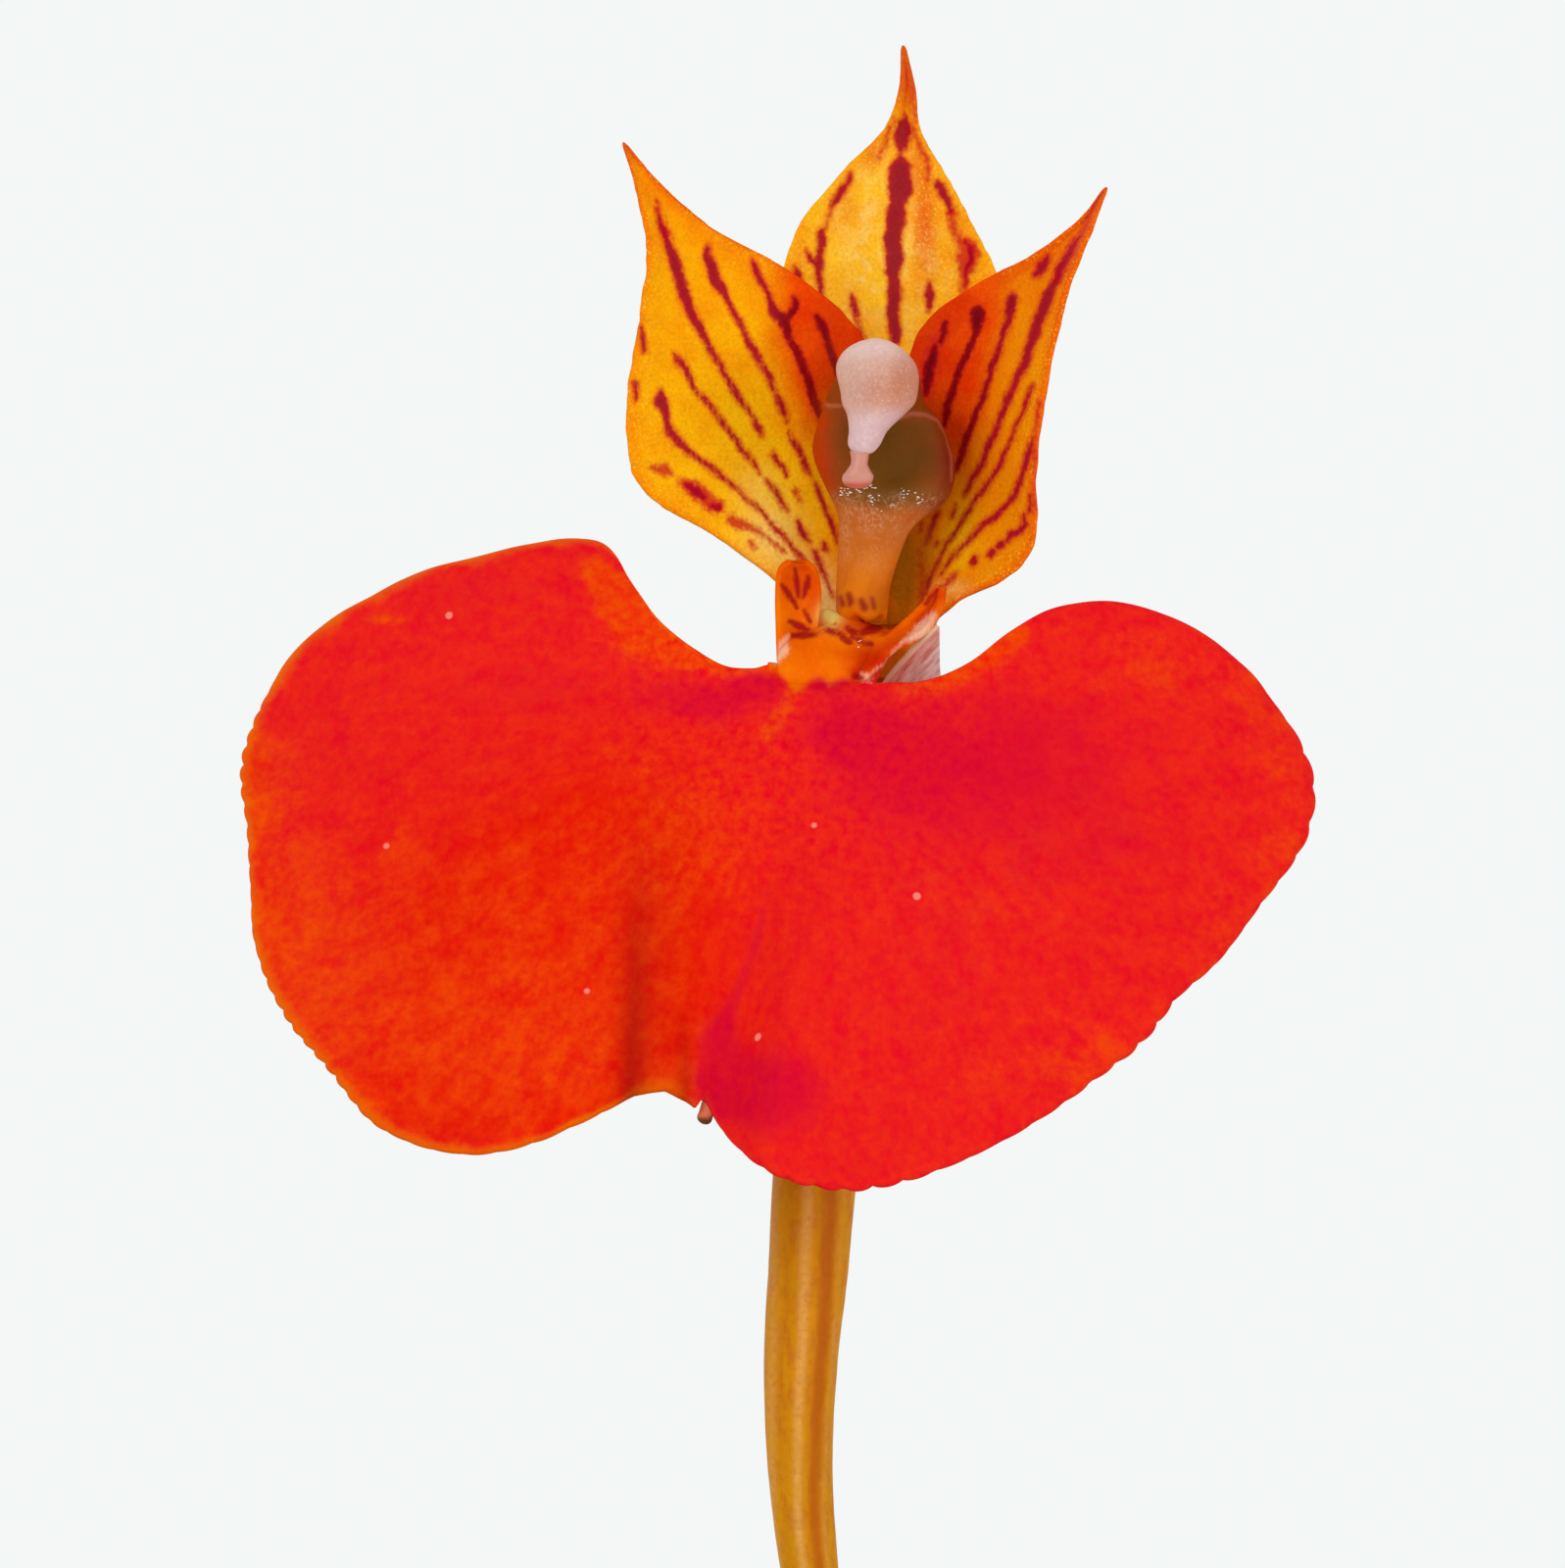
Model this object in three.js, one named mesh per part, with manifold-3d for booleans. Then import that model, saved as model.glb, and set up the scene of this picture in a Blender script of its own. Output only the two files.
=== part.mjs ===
// A small potted orchid, Comparettia speciosa: one open flower on a thin arching stem, with
// pseudobulbs, leathery leaves and roots in a plain clay pot of bark. Millimetres, +Z up.
// The origin is the middle of the pot's flat underside, and the flower faces -Y.
import * as THREE from "three";
import { mergeVertices } from "three/addons/utils/BufferGeometryUtils.js";
import Module from "manifold-3d";

const wasm = await Module();
wasm.setup();

// Driving dimensions
const GAP = 0.3; // clearance between pieces that touch
const POT = { height: 60, rimRadius: 37, footRadius: 25.5, wall: 3, floor: 4, rimBand: 13, rimStep: 1.6 };
const DRAIN = { count: 4, radius: 3, ring: 13 };
const BARK = { edge: 53, crown: 56.5, sides: 24, chips: 52, chipSize: [11.5, 7.2, 4], seed: 11 };
const FLOWER = [3, -17, 200]; // where lip, column, sepals and petals meet
const TEPAL_THICKNESS = 0.6;
const LIP_THICKNESS = 0.7;

// Materials
const finish = (color, roughness) => new THREE.MeshStandardMaterial({ color, roughness, metalness: 0 });
const CLAY = finish(0xb9693f, 0.9);
const BARK_BROWN = finish(0x5a3822, 0.95);
const LEAF_GREEN = finish(0x3f6b25, 0.45);
const BULB_GREEN = finish(0x74883a, 0.55);
const ROOT_SILVER = finish(0xb9bca4, 0.8);
const STEM_GREEN = finish(0x6f6a2c, 0.55);
const OVARY_OLIVE = finish(0xa9772a, 0.5);
const LIP_RED = finish(0xee2a12, 0.5);
const PETAL_ORANGE = finish(0xf39a0c, 0.45);
const SPUR_OCHRE = finish(0xb8701c, 0.5);
const COLUMN_AMBER = finish(0xa85f1c, 0.35);
const ANTHER_PINK = finish(0xe6c2ba, 0.45);
const POLLEN_PINK = finish(0xd98874, 0.4);

// Small maths
const vector = (p) => new THREE.Vector3(...p);
const spline = (points, closed = false) =>
  new THREE.CatmullRomCurve3(points.map(vector), closed, "catmullrom", 0.5);
const clamp01 = (v) => Math.min(1, Math.max(0, v));
const bell = (v) => Math.exp(-v * v);
const radians = (degrees) => (degrees * Math.PI) / 180;

// The value at t of a list of numbers spaced evenly from t = 0 to t = 1, eased between them.
function along(values, t) {
  return spline(values.map((v) => [v, 0, 0])).getPoint(t).x;
}

// A seeded draw of numbers from 0 to 1.
function dice(seed) {
  let state = seed;
  return () => {
    state = (state + 0x6d2b79f5) | 0;
    let mixed = Math.imul(state ^ (state >>> 15), 1 | state);
    mixed = (mixed + Math.imul(mixed ^ (mixed >>> 7), 61 | mixed)) ^ mixed;
    return ((mixed ^ (mixed >>> 14)) >>> 0) / 4294967296;
  };
}

// Solids
// A closed three.js geometry as a solid, turned to face outwards.
function solid(geometry) {
  const bare = geometry.clone().deleteAttribute("normal").deleteAttribute("uv");
  const merged = mergeVertices(bare, 1e-4);
  const vertProperties = merged.attributes.position.array;
  const triVerts = new Uint32Array(merged.index.array);
  const made = new wasm.Manifold(new wasm.Mesh({ numProp: 3, vertProperties, triVerts }));
  if (made.volume() > 0) return made;
  triVerts.reverse();
  return new wasm.Manifold(new wasm.Mesh({ numProp: 3, vertProperties, triVerts }));
}

// A solid's faces as a three.js geometry.
function geometryOf(made) {
  const mesh = made.getMesh();
  return new THREE.BufferGeometry()
    .setAttribute("position", new THREE.BufferAttribute(new Float32Array(mesh.vertProperties), 3))
    .setIndex(new THREE.BufferAttribute(new Uint32Array(mesh.triVerts), 1));
}

// Skins a row of rings, each a closed loop of as many points, and closes both ends with a fan.
// Where crossed(i, j) holds, a cell is split along its other diagonal.
function loft(rings, crossed = () => false) {
  const around = rings[0].length;
  const middle = (ring) => ring.reduce((sum, p) => sum.add(p), new THREE.Vector3()).divideScalar(around);
  const points = [...rings.flat(), middle(rings[0]), middle(rings.at(-1))];
  const first = points.length - 2;
  const last = points.length - 1;
  const faces = [];
  for (let i = 0; i < around; i++) {
    const next = (i + 1) % around;
    faces.push(first, next, i);
    for (let j = 0; j < rings.length - 1; j++) {
      const here = j * around;
      const beyond = here + around;
      const [a, b, c, d] = [here + i, here + next, beyond + next, beyond + i];
      if (crossed(i, j)) faces.push(a, b, c, a, c, d);
      else faces.push(a, b, d, b, c, d);
    }
    const end = (rings.length - 1) * around;
    faces.push(last, end + i, end + next);
  }
  const geometry = new THREE.BufferGeometry().setFromPoints(points).setIndex(faces);
  return solid(geometry);
}

// A thin blade: surface(s, t) runs from edge to edge with s and from base to tip with t.
function blade(surface, steps, cells, thickness) {
  const small = 1e-3;
  const rings = [];
  for (let j = 0; j <= steps; j++) {
    const t = j / steps;
    const front = [];
    const back = [];
    for (let i = 0; i <= cells; i++) {
      const s = i / cells;
      const p = surface(s, t);
      const across = surface(Math.min(1, s + small), t).sub(surface(Math.max(0, s - small), t));
      const onward = surface(s, Math.min(1, t + small)).sub(surface(s, Math.max(0, t - small)));
      const normal = across.cross(onward).normalize();
      front.push(p.clone().addScaledVector(normal, thickness / 2));
      back.unshift(p.clone().addScaledVector(normal, -thickness / 2));
    }
    rings.push([...front, ...back]);
  }
  return loft(rings, (i) => i > cells); // so that both faces are split alike
}

// The surface between two edges, each a list of points from base to tip, moved by hollow(s, t).
function betweenEdges(left, right, hollow = () => [0, 0, 0]) {
  const from = spline(left);
  const to = spline(right);
  return (s, t) => from.getPoint(t).lerp(to.getPoint(t), s).add(vector(hollow(s, t)));
}

// A tube of sides facets along a path, whose radius at t is radiusAt(t, angle), grown on all sides.
function tube(path, radiusAt, steps, sides, grow = 0) {
  const frames = path.computeFrenetFrames(steps, false);
  const rings = [];
  for (let j = 0; j <= steps; j++) {
    const t = j / steps;
    const overrun = j === 0 ? -grow : j === steps ? grow : 0;
    const centre = path.getPointAt(t).addScaledVector(frames.tangents[j], overrun);
    const ring = [];
    for (let i = 0; i < sides; i++) {
      const angle = (i / sides) * Math.PI * 2;
      const radius = radiusAt(t, angle) + grow;
      const p = centre.clone().addScaledVector(frames.normals[j], Math.cos(angle) * radius);
      ring.push(p.addScaledVector(frames.binormals[j], Math.sin(angle) * radius));
    }
    rings.push(ring);
  }
  return loft(rings);
}

// A body of stacked ovals, each row [x, y, z, halfWidth, halfDepth] from the lowest up, grown on all sides.
function stackedOvals(rows, sides, grow = 0) {
  return loft(
    rows.map(([x, y, z, halfWidth, halfDepth], j) =>
      Array.from({ length: sides }, (_, i) => {
        const angle = (i / sides) * Math.PI * 2;
        const overrun = j === 0 ? -grow : j === rows.length - 1 ? grow : 0;
        return vector([
          x + Math.cos(angle) * (halfWidth + grow),
          y + Math.sin(angle) * (halfDepth + grow),
          z + overrun,
        ]);
      }),
    ),
  );
}

const union = (...solids) => solids.reduce((sum, next) => sum.add(next));
function lathe(profile, segments) {
  const points = profile.map(([radius, height]) => new THREE.Vector2(radius, height));
  return solid(new THREE.LatheGeometry(points, segments).rotateX(Math.PI / 2));
}

// Pot
const POT_SIDES = 48;
const bandFoot = POT.height - POT.rimBand;
const outerRadius = (z) => POT.footRadius + ((POT.rimRadius - POT.rimStep - POT.footRadius) * z) / POT.height;
const innerRadius = (z) => outerRadius(z) - POT.wall;

function pot() {
  const shell = lathe(
    [
      [0, 0],
      [POT.footRadius - 1, 0],
      [POT.footRadius, 1],
      [outerRadius(bandFoot), bandFoot],
      [POT.rimRadius - 0.5, bandFoot + 0.6],
      [POT.rimRadius, POT.height - 1],
      [POT.rimRadius - 1, POT.height],
      [innerRadius(POT.height) + 0.8, POT.height],
      [innerRadius(POT.height), POT.height - 1],
      [innerRadius(POT.floor), POT.floor],
      [0, POT.floor],
    ],
    POT_SIDES,
  );
  const holes = Array.from({ length: DRAIN.count }, (_, i) => {
    const angle = ((i + 0.5) / DRAIN.count) * Math.PI * 2;
    const through = POT.floor * 3;
    const drill = new THREE.CylinderGeometry(DRAIN.radius, DRAIN.radius, through, 16).rotateX(Math.PI / 2);
    return solid(drill.translate(Math.cos(angle) * DRAIN.ring, Math.sin(angle) * DRAIN.ring, POT.floor / 2));
  });
  return shell.subtract(union(...holes));
}

// Pseudobulbs stand in a row on the rhizome, the newest first. Lean is in degrees, to the right.
const BULBS = [
  { name: "pseudobulb_newest", foot: [8, -3, 57], height: 23, halfWidth: 6.4, halfDepth: 4.6, lean: 5 },
  { name: "pseudobulb_middle", foot: [-2, 2, 57], height: 20, halfWidth: 6, halfDepth: 4.4, lean: -4 },
  { name: "pseudobulb_oldest", foot: [-11, 7, 57], height: 17, halfWidth: 5.4, halfDepth: 4, lean: -14 },
];
const BULB_PROFILE = [0.62, 0.9, 1, 0.97, 0.84, 0.62, 0.36];

function pseudobulb({ foot, height, halfWidth, halfDepth, lean }, grow = 0) {
  const steps = 9;
  const sides = 16;
  const furrow = 0.05; // shallow lengthwise grooves
  const rings = Array.from({ length: steps + 1 }, (_, j) => {
    const t = j / steps;
    const share = along(BULB_PROFILE, t);
    return Array.from({ length: sides }, (_, i) => {
      const angle = (i / sides) * Math.PI * 2;
      const groove = 1 - furrow * (i % 2) * Math.sin(Math.PI * t);
      return vector([
        foot[0] + Math.cos(angle) * (halfWidth * share * groove + grow) + Math.sin(radians(lean)) * height * t,
        foot[1] + Math.sin(angle) * (halfDepth * share * groove + grow),
        foot[2] + height * t + grow * (2 * t - 1),
      ]);
    });
  });
  return loft(rings);
}

// Leaves: each rises from where, bends over towards azimuth, and is folded along its midrib.
const bulbTop = ({ foot: [x, y, z], height, lean }) => [x + Math.sin(radians(lean)) * height, y, z + height + GAP];
const LEAVES = [
  { name: "leaf_newest", base: bulbTop(BULBS[0]),
    azimuth: -18, reach: 68, rise: 46, droop: 12, halfWidth: 12.5 },
  { name: "leaf_middle", base: bulbTop(BULBS[1]), azimuth: 78, reach: 46, rise: 62, droop: 9, halfWidth: 12 },
  { name: "leaf_oldest", base: bulbTop(BULBS[2]),
    azimuth: 192, reach: 58, rise: 42, droop: 16, halfWidth: 10.5 },
  { name: "leaf_at_foot", base: [-5.5, -2.6, 60.5],
    azimuth: 236, reach: 46, rise: 34, droop: 10, halfWidth: 8.5 },
];
const LEAF_THICKNESS = 1.1;

function leaf({ base, azimuth, reach, rise, droop, halfWidth }) {
  const out = vector([Math.cos(radians(azimuth)), Math.sin(radians(azimuth)), 0]);
  const side = vector([-out.y, out.x, 0]);
  const midrib = spline(
    [
      [0, 0],
      [0.06, 0.3],
      [0.24, 0.68],
      [0.55, 0.98],
      [0.82, 1],
      [1, 1 - droop / rise],
    ].map(([share, height]) => {
      const far = reach * share;
      return [base[0] + out.x * far, base[1] + out.y * far, base[2] + rise * height];
    }),
  );
  const surface = (s, t) => {
    const v = 2 * s - 1;
    const width = 2.2 * (1 - t) + halfWidth * Math.sin(Math.PI * Math.pow(t, 0.92)) ** 0.85 + 0.25;
    const fold = 1.25 * (1 - t) ** 3 + 0.3;
    const onward = midrib.getTangent(t);
    const up = onward.clone().cross(side).multiplyScalar(-1).normalize();
    const spread = width / Math.hypot(1, fold);
    const wave = 0.35 * Math.sin(9 * t + azimuth) * t;
    return midrib
      .getPoint(t)
      .addScaledVector(side, v * spread)
      .addScaledVector(up, Math.abs(v) ** 1.15 * spread * fold + wave * v * v);
  };
  return blade(surface, 16, 6, LEAF_THICKNESS);
}

// Rhizome and roots, one body: the roots leave it low down, and dive into the bark or cross the rim.
const RHIZOME = { points: [[-15, 9.5, 55.5], [-6, 4.5, 55], [3, -0.5, 55], [12, -5, 55.5]], radius: 2.3 };
const ROOT_RADIUS = 1.1;
const ROOTS = [
  { from: [-9, 4], angle: 205, overRim: true, wave: 3 },
  { from: [9, -4], angle: 318, overRim: true, wave: -3 },
  { from: [5, -3], angle: 268, reach: 25, wave: 4 },
  { from: [-5, 1], angle: 236, reach: 22, wave: -4 },
  { from: [8, -1], angle: 14, reach: 19, wave: 3 },
  { from: [2, 1], angle: 66, reach: 22, wave: -3 },
  { from: [-10, 7], angle: 128, reach: 16, wave: 3 },
];

function rootPath({ from, angle, reach = 0, overRim = false, wave }) {
  const out = [Math.cos(radians(angle)), Math.sin(radians(angle))];
  const reachAlong = overRim ? POT.rimRadius - Math.hypot(...from) * 0.9 : reach;
  const at = (share, height) => {
    const distance = reachAlong * share;
    const sway = wave * Math.sin(share * Math.PI * 1.4);
    return [from[0] + out[0] * distance - out[1] * sway, from[1] + out[1] * distance + out[0] * sway, height];
  };
  if (!overRim) return spline([at(0, 55.4), at(0.25, 58.2), at(0.55, 57.8), at(0.85, 56), at(1.05, 51)]);
  const lip = POT.height + ROOT_RADIUS + GAP + 0.3;
  const clear = POT.rimRadius + ROOT_RADIUS + GAP + 0.4;
  const end = at(0.8, 0);
  const bearing = Math.atan2(end[1], end[0]);
  const polar = (radius, height, turn = 0) => [
    Math.cos(bearing + turn) * radius,
    Math.sin(bearing + turn) * radius,
    height,
  ];
  return spline([
    at(0, 55.4),
    at(0.3, 58.6),
    at(0.6, 58.6),
    polar(innerRadius(POT.height) - 4, lip - 0.8),
    polar(POT.rimRadius - 2, lip + 1),
    polar(clear + 0.5, lip - 2),
    polar(clear + 0.6, lip - 13, 0.06),
    polar(clear - 1.2, lip - 26, 0.02),
  ]);
}

function rhizomeAndRoots(grow = 0) {
  const rhizome = tube(spline(RHIZOME.points), () => RHIZOME.radius, 8, 8, grow);
  const roots = ROOTS.map((root) => {
    const steps = root.overRim ? 20 : 9;
    return tube(rootPath(root), (t) => ROOT_RADIUS * (1 - 0.35 * t ** 4), steps, 6, grow);
  });
  return union(rhizome, ...roots);
}

// Bark: a core that fills the pot with chips laid over its top, all one body.
function barkBed() {
  const draw = dice(BARK.seed);
  const insideGap = GAP + 0.1;
  const fillRadius = (z) => innerRadius(z) - insideGap;
  const reach = fillRadius(BARK.edge);
  const core = lathe(
    [
      [0, POT.floor + GAP],
      [fillRadius(POT.floor), POT.floor + GAP],
      [reach, BARK.edge - 1.5],
      [reach * 0.6, BARK.crown - 2.2],
      [0, BARK.crown - 1.4],
    ],
    BARK.sides,
  );
  const chips = Array.from({ length: BARK.chips }, (_, i) => {
    const share = Math.sqrt((i + 0.5) / BARK.chips);
    const angle = i * radians(137.508);
    const [length, width, height] = BARK.chipSize.map((size) => size * (0.75 + 0.55 * draw()));
    const chip = new THREE.BoxGeometry(length, width, height);
    const corners = chip.attributes.position;
    const shift = new Map();
    for (let k = 0; k < corners.count; k++) {
      const key = [corners.getX(k), corners.getY(k), corners.getZ(k)].map(Math.sign).join();
      if (!shift.has(key)) shift.set(key, [draw(), draw(), draw()]);
      const [a, b, c] = shift.get(key);
      corners.setX(k, corners.getX(k) * (0.6 + 0.5 * a));
      corners.setY(k, corners.getY(k) * (0.6 + 0.5 * b));
      corners.setZ(k, corners.getZ(k) * (0.7 + 0.5 * c));
    }
    const tilt = new THREE.Euler((draw() - 0.5) * 0.9, (draw() - 0.5) * 0.9, draw() * Math.PI * 2);
    const level = BARK.crown - (BARK.crown - BARK.edge) * share * share - 1.6;
    const out = reach * share;
    const place = vector([Math.cos(angle) * out, Math.sin(angle) * out, level + draw() * 1.2]);
    const turn = new THREE.Matrix4().makeRotationFromEuler(tilt).setPosition(place);
    return solid(chip.applyMatrix4(turn));
  });
  const room = lathe(
    [
      [0, POT.floor + GAP],
      [fillRadius(POT.floor + GAP), POT.floor + GAP],
      [fillRadius(POT.height - 2), POT.height - 2],
      [0, POT.height - 2],
    ],
    BARK.sides,
  );
  const plants = union(
    rhizomeAndRoots(GAP),
    ...BULBS.map((bulb) => pseudobulb(bulb, GAP)),
    stemWithBracts(GAP),
  );
  const cut = union(core, ...chips).intersect(room).subtract(plants);
  return cut.decompose().sort((a, b) => b.volume() - a.volume())[0];
}

// Flowering stem: thin and wiry, with three sheathing bracts and a withered tip above the flower's node.
const STEM_PATH = spline([
  [2.5, -9.4, 52],
  [2.4, -10, 62],
  [2.9, -9.6, 82],
  [3.6, -7.2, 106],
  [3.1, -3.6, 132],
  [1.9, -0.9, 152],
  [1.45, 0, 168],
  [1.45, 0.1, 180],
  [1.5, 0.5, 188.5],
  [1.7, 1.5, 193],
]);
const SHEATHS = { starts: [0.14, 0.4, 0.66], length: 0.075 };
const FLOWER_BRACT = {
  left: [[0.3, -0.1, 186.2], [0, -1.4, 187], [0.2, -3, 187.7], [1.4, -4.6, 188]],
  right: [[2.7, -0.1, 186.2], [3, -1.4, 187], [2.8, -3, 187.7], [1.6, -4.6, 188]],
};

// The bract at the flower's node: a small dry scale that clasps the stem under the ovary's stalk.
function flowerBract(grow) {
  const hollow = (s, t) => [0, 0, -0.9 * Math.sin(Math.PI * s) * (1 - t)];
  return blade(betweenEdges(FLOWER_BRACT.left, FLOWER_BRACT.right, hollow), 5, 4, TEPAL_THICKNESS + 2 * grow);
}

function stemWithBracts(grow = 0) {
  const stem = tube(STEM_PATH, (t) => 1.15 - 0.4 * t, 26, 8, grow);
  const sheaths = SHEATHS.starts.map((start) => {
    const shares = [0, 0.25, 0.5, 0.75, 1];
    const points = shares.map((share) => STEM_PATH.getPointAt(start + SHEATHS.length * share).toArray());
    return tube(spline(points), (t) => 1.75 - 0.35 * t, 4, 8, grow);
  });
  return union(stem, ...sheaths, flowerBract(grow));
}

// Flower, in its own coordinates: x right, y back, z up, from the point where its parts meet.
const LEFT_PETAL = {
  outer: [[-1.2, 1.7, 0.3], [-2.4, 1.5, 1.8], [-4.3, 1, 3.4], [-6.3, 0.4, 4.4], [-7.4, 0, 5.7],
    [-7.5, 0, 8.2], [-7.1, 0.4, 10.6], [-6.9, 0.8, 12.9], [-7.2, 1, 14.9], [-7.7, 0.8, 16.6]],
  inner: [[0.1, 2.4, 0.4], [0, 2.8, 3.4], [0.3, 3, 5.6], [0.7, 3.1, 7.8], [0.5, 3.1, 9.5],
    [-0.7, 2.9, 11], [-2.7, 2.6, 12.4], [-4.9, 2.1, 13.6], [-6.5, 1.5, 15.1], [-7.6, 0.8, 16.6]],
};
const RIGHT_PETAL = {
  inner: [[1.3, 2.4, 0.6], [1.3, 2.8, 3], [1.4, 3, 5.2], [1.7, 3.1, 7.2], [1.8, 3.1, 9],
    [2.5, 2.9, 10.7], [4.3, 2.4, 12], [6.2, 1.6, 12.9], [7.6, 0.8, 13.9], [8.4, 0.1, 15]],
  outer: [[2.45, 1.8, 0.45], [3.7, 0.8, 1.3], [5.3, -0.4, 2], [6.1, -1.2, 3], [6.1, -1.8, 5.5],
    [6.2, -1.9, 7.8], [6.6, -1.5, 9.9], [7.3, -0.9, 11.9], [8, -0.3, 13.7], [8.5, 0.1, 15]],
};
const DORSAL_SEPAL = {
  left: [[-0.8, 3.3, 0.6], [-1.1, 3.9, 4.6], [-1.9, 4.1, 7.6], [-2.3, 4.1, 10.2], [-2.2, 4, 12.3],
    [-1.5, 4, 14.1], [-0.1, 4.1, 15.6], [1.35, 4.3, 17.3], [1.6, 4.5, 18.7], [1.65, 4.7, 20.1]],
  right: [[2.5, 3.3, 0.6], [3.2, 3.9, 4.6], [4.3, 4.1, 7.6], [4.8, 4.1, 10.2], [4.7, 4, 12.3],
    [3.9, 4, 14.1], [2.9, 4.1, 15.7], [2.15, 4.3, 17.3], [2, 4.5, 18.7], [1.7, 4.7, 20.1]],
};

// A sepal or petal between two edges, its middle hollowed backwards by depth.
function tepal(left, right, depth) {
  const hollow = (s, t) => [0, depth * Math.sin(Math.PI * s) * Math.sin(Math.PI * t) ** 0.6, 0];
  return blade(betweenEdges(left, right, hollow), 14, 5, TEPAL_THICKNESS);
}

// Lateral sepals, grown together into one cupped blade behind the lip that runs out into the long spur.
// The blade's right margin is turned forwards.
const JOINED_SEPALS = {
  left: [[-1.4, 1.4, -0.3], [-2, 0.6, -1.5], [-3.3, -0.2, -3.6], [-3.8, -0.9, -6], [-3.3, -1.6, -8.5],
    [-2, -2.2, -10.6], [-0.9, -2.6, -12.2]],
  right: [[2.75, 1.2, -0.05], [2.9, 0.8, -1], [3.1, -0.2, -3.4], [2.6, -0.9, -6], [1.5, -1.6, -8.5],
    [0.2, -2.2, -10.6], [-0.7, -2.6, -12.3]],
};
const TURNED_MARGIN = {
  left: [[0.6, 0.6, -1.6], [1.1, 0.4, -1.05], [1.8, 0.2, -0.35], [2.35, 0.1, 0.15], [2.66, 0.1, 0.55]],
  right: [[3.05, 0, -2.8], [2.95, 0.6, -1.6], [2.88, 0.85, -0.9], [2.83, 1, -0.3], [2.75, 0.9, 0.45]],
};
const SPUR_PATH = spline([
  [0.5, 2.2, -1.2],
  [0.2, 2.2, -4],
  [-0.5, 1.7, -9.5],
  [-1.1, 0.9, -16],
  [-1.5, 0.5, -21.3],
  [-1.75, 0.3, -24.6],
  [-1.75, 0.3, -27.9],
  [-1.45, 0.5, -31.1],
  [-0.8, 0.9, -36],
  [-0.2, 1.6, -40.3],
]);
const SPUR_RADII = [1.7, 1.8, 1.65, 1.5, 1.4, 1.28, 1.1, 0.95, 0.8, 0.5];

function joinedSepalsAndSpur() {
  const cup = (s, t) => [0, 1.5 * Math.sin(Math.PI * s) * (1 - t) ** 0.5, 0];
  const cupped = blade(betweenEdges(JOINED_SEPALS.left, JOINED_SEPALS.right, cup), 9, 5, TEPAL_THICKNESS);
  const margin = blade(betweenEdges(TURNED_MARGIN.left, TURNED_MARGIN.right), 5, 2, TEPAL_THICKNESS);
  return union(cupped, margin, tube(SPUR_PATH, (t) => along(SPUR_RADII, t), 24, 10));
}

// Lip: its outline seen from the front, [x, z], clockwise from the left of the claw.
const LIP_OUTLINE = [
  [-2.6, -1.2], [-4.2, -1], [-5.2, -0.4], [-6.5, 0.6], [-7.5, 2], [-7.9, 2.7], [-8.4, 3.1],
  [-9.4, 3.3], [-11.1, 3], [-14.4, 2.1], [-17.8, 0.3], [-19.6, -2], [-20.4, -4.6], [-20.1, -8],
  [-19.9, -10], [-18.5, -12.9], [-17, -14.4], [-15.4, -16.1], [-12.5, -17], [-10.6, -16.6],
  [-8.7, -15.9], [-7.1, -15.1], [-6, -15], [-5.3, -15.4], [-4.7, -15.8], [-4, -16.6], [-2.6, -17.6],
  [-0.7, -18], [1.3, -17.9], [3.6, -17.1], [5.7, -16.1], [7.6, -14.7], [9.4, -13.3], [10.6, -11.8],
  [12.2, -10.6], [13.4, -8.9], [14.9, -7.1], [15.4, -5.2], [15.1, -3.7], [14.2, -2.1], [13.4, -0.8],
  [11.8, 0.2], [10, 0.9], [8.3, 1.2], [6.7, 1], [5.2, 0.1], [3.9, -0.9], [2.6, -1.4], [0.5, -1.6],
];
const LIP_MIDDLE = [-2.5, -9];
const LIP_TOP = -1.4; // where the blade bends down from the claw
const LIP_DROP = 16.5; // from there to its lower margin
const LIP_REACH = 7.2; // how far forward the lower margin hangs

function lipDepth(x, z) {
  const down = clamp01((LIP_TOP - z) / LIP_DROP);
  const fold = -1.5 - 3.4 * down;
  const sideways = (x - LIP_MIDDLE[0]) / 17.5;
  const forward = 2.4 + LIP_REACH * down ** 0.85;
  const fallBack = 4.6 * sideways ** 2 * (1 - 0.25 * down);
  const shoulder = 0.1 * Math.max(0, z - LIP_TOP) ** 2;
  const crease = 1.1 * bell((x - fold) / 1.5) * down ** 0.7;
  return -forward + fallBack + shoulder + crease;
}

function lipBlade() {
  const outline = spline(LIP_OUTLINE.map(([x, z]) => [x, 0, z]), true);
  const around = 88;
  const scallop = 0.1;
  const shares = [0.14, 0.42, 0.68, 0.87, 1];
  const ringAt = (share, offset) =>
    Array.from({ length: around }, (_, i) => {
      const rim = outline.getPointAt(i / around);
      const low = clamp01((-2 - rim.z) / 6);
      const ripple = 1 + (share === 1 ? (scallop / 10) * low * Math.sin(i * 2.1) : 0);
      const x = LIP_MIDDLE[0] + (rim.x - LIP_MIDDLE[0]) * share * ripple;
      const z = LIP_MIDDLE[1] + (rim.z - LIP_MIDDLE[1]) * share * ripple;
      return vector([x, lipDepth(x, z) + offset, z]);
    });
  const half = LIP_THICKNESS / 2;
  const front = shares.map((share) => ringAt(share, -half));
  const back = shares.toReversed().map((share) => ringAt(share, half));
  return loft([...front, ...back], (i, j) => j >= shares.length); // so that both faces are split alike
}

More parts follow.
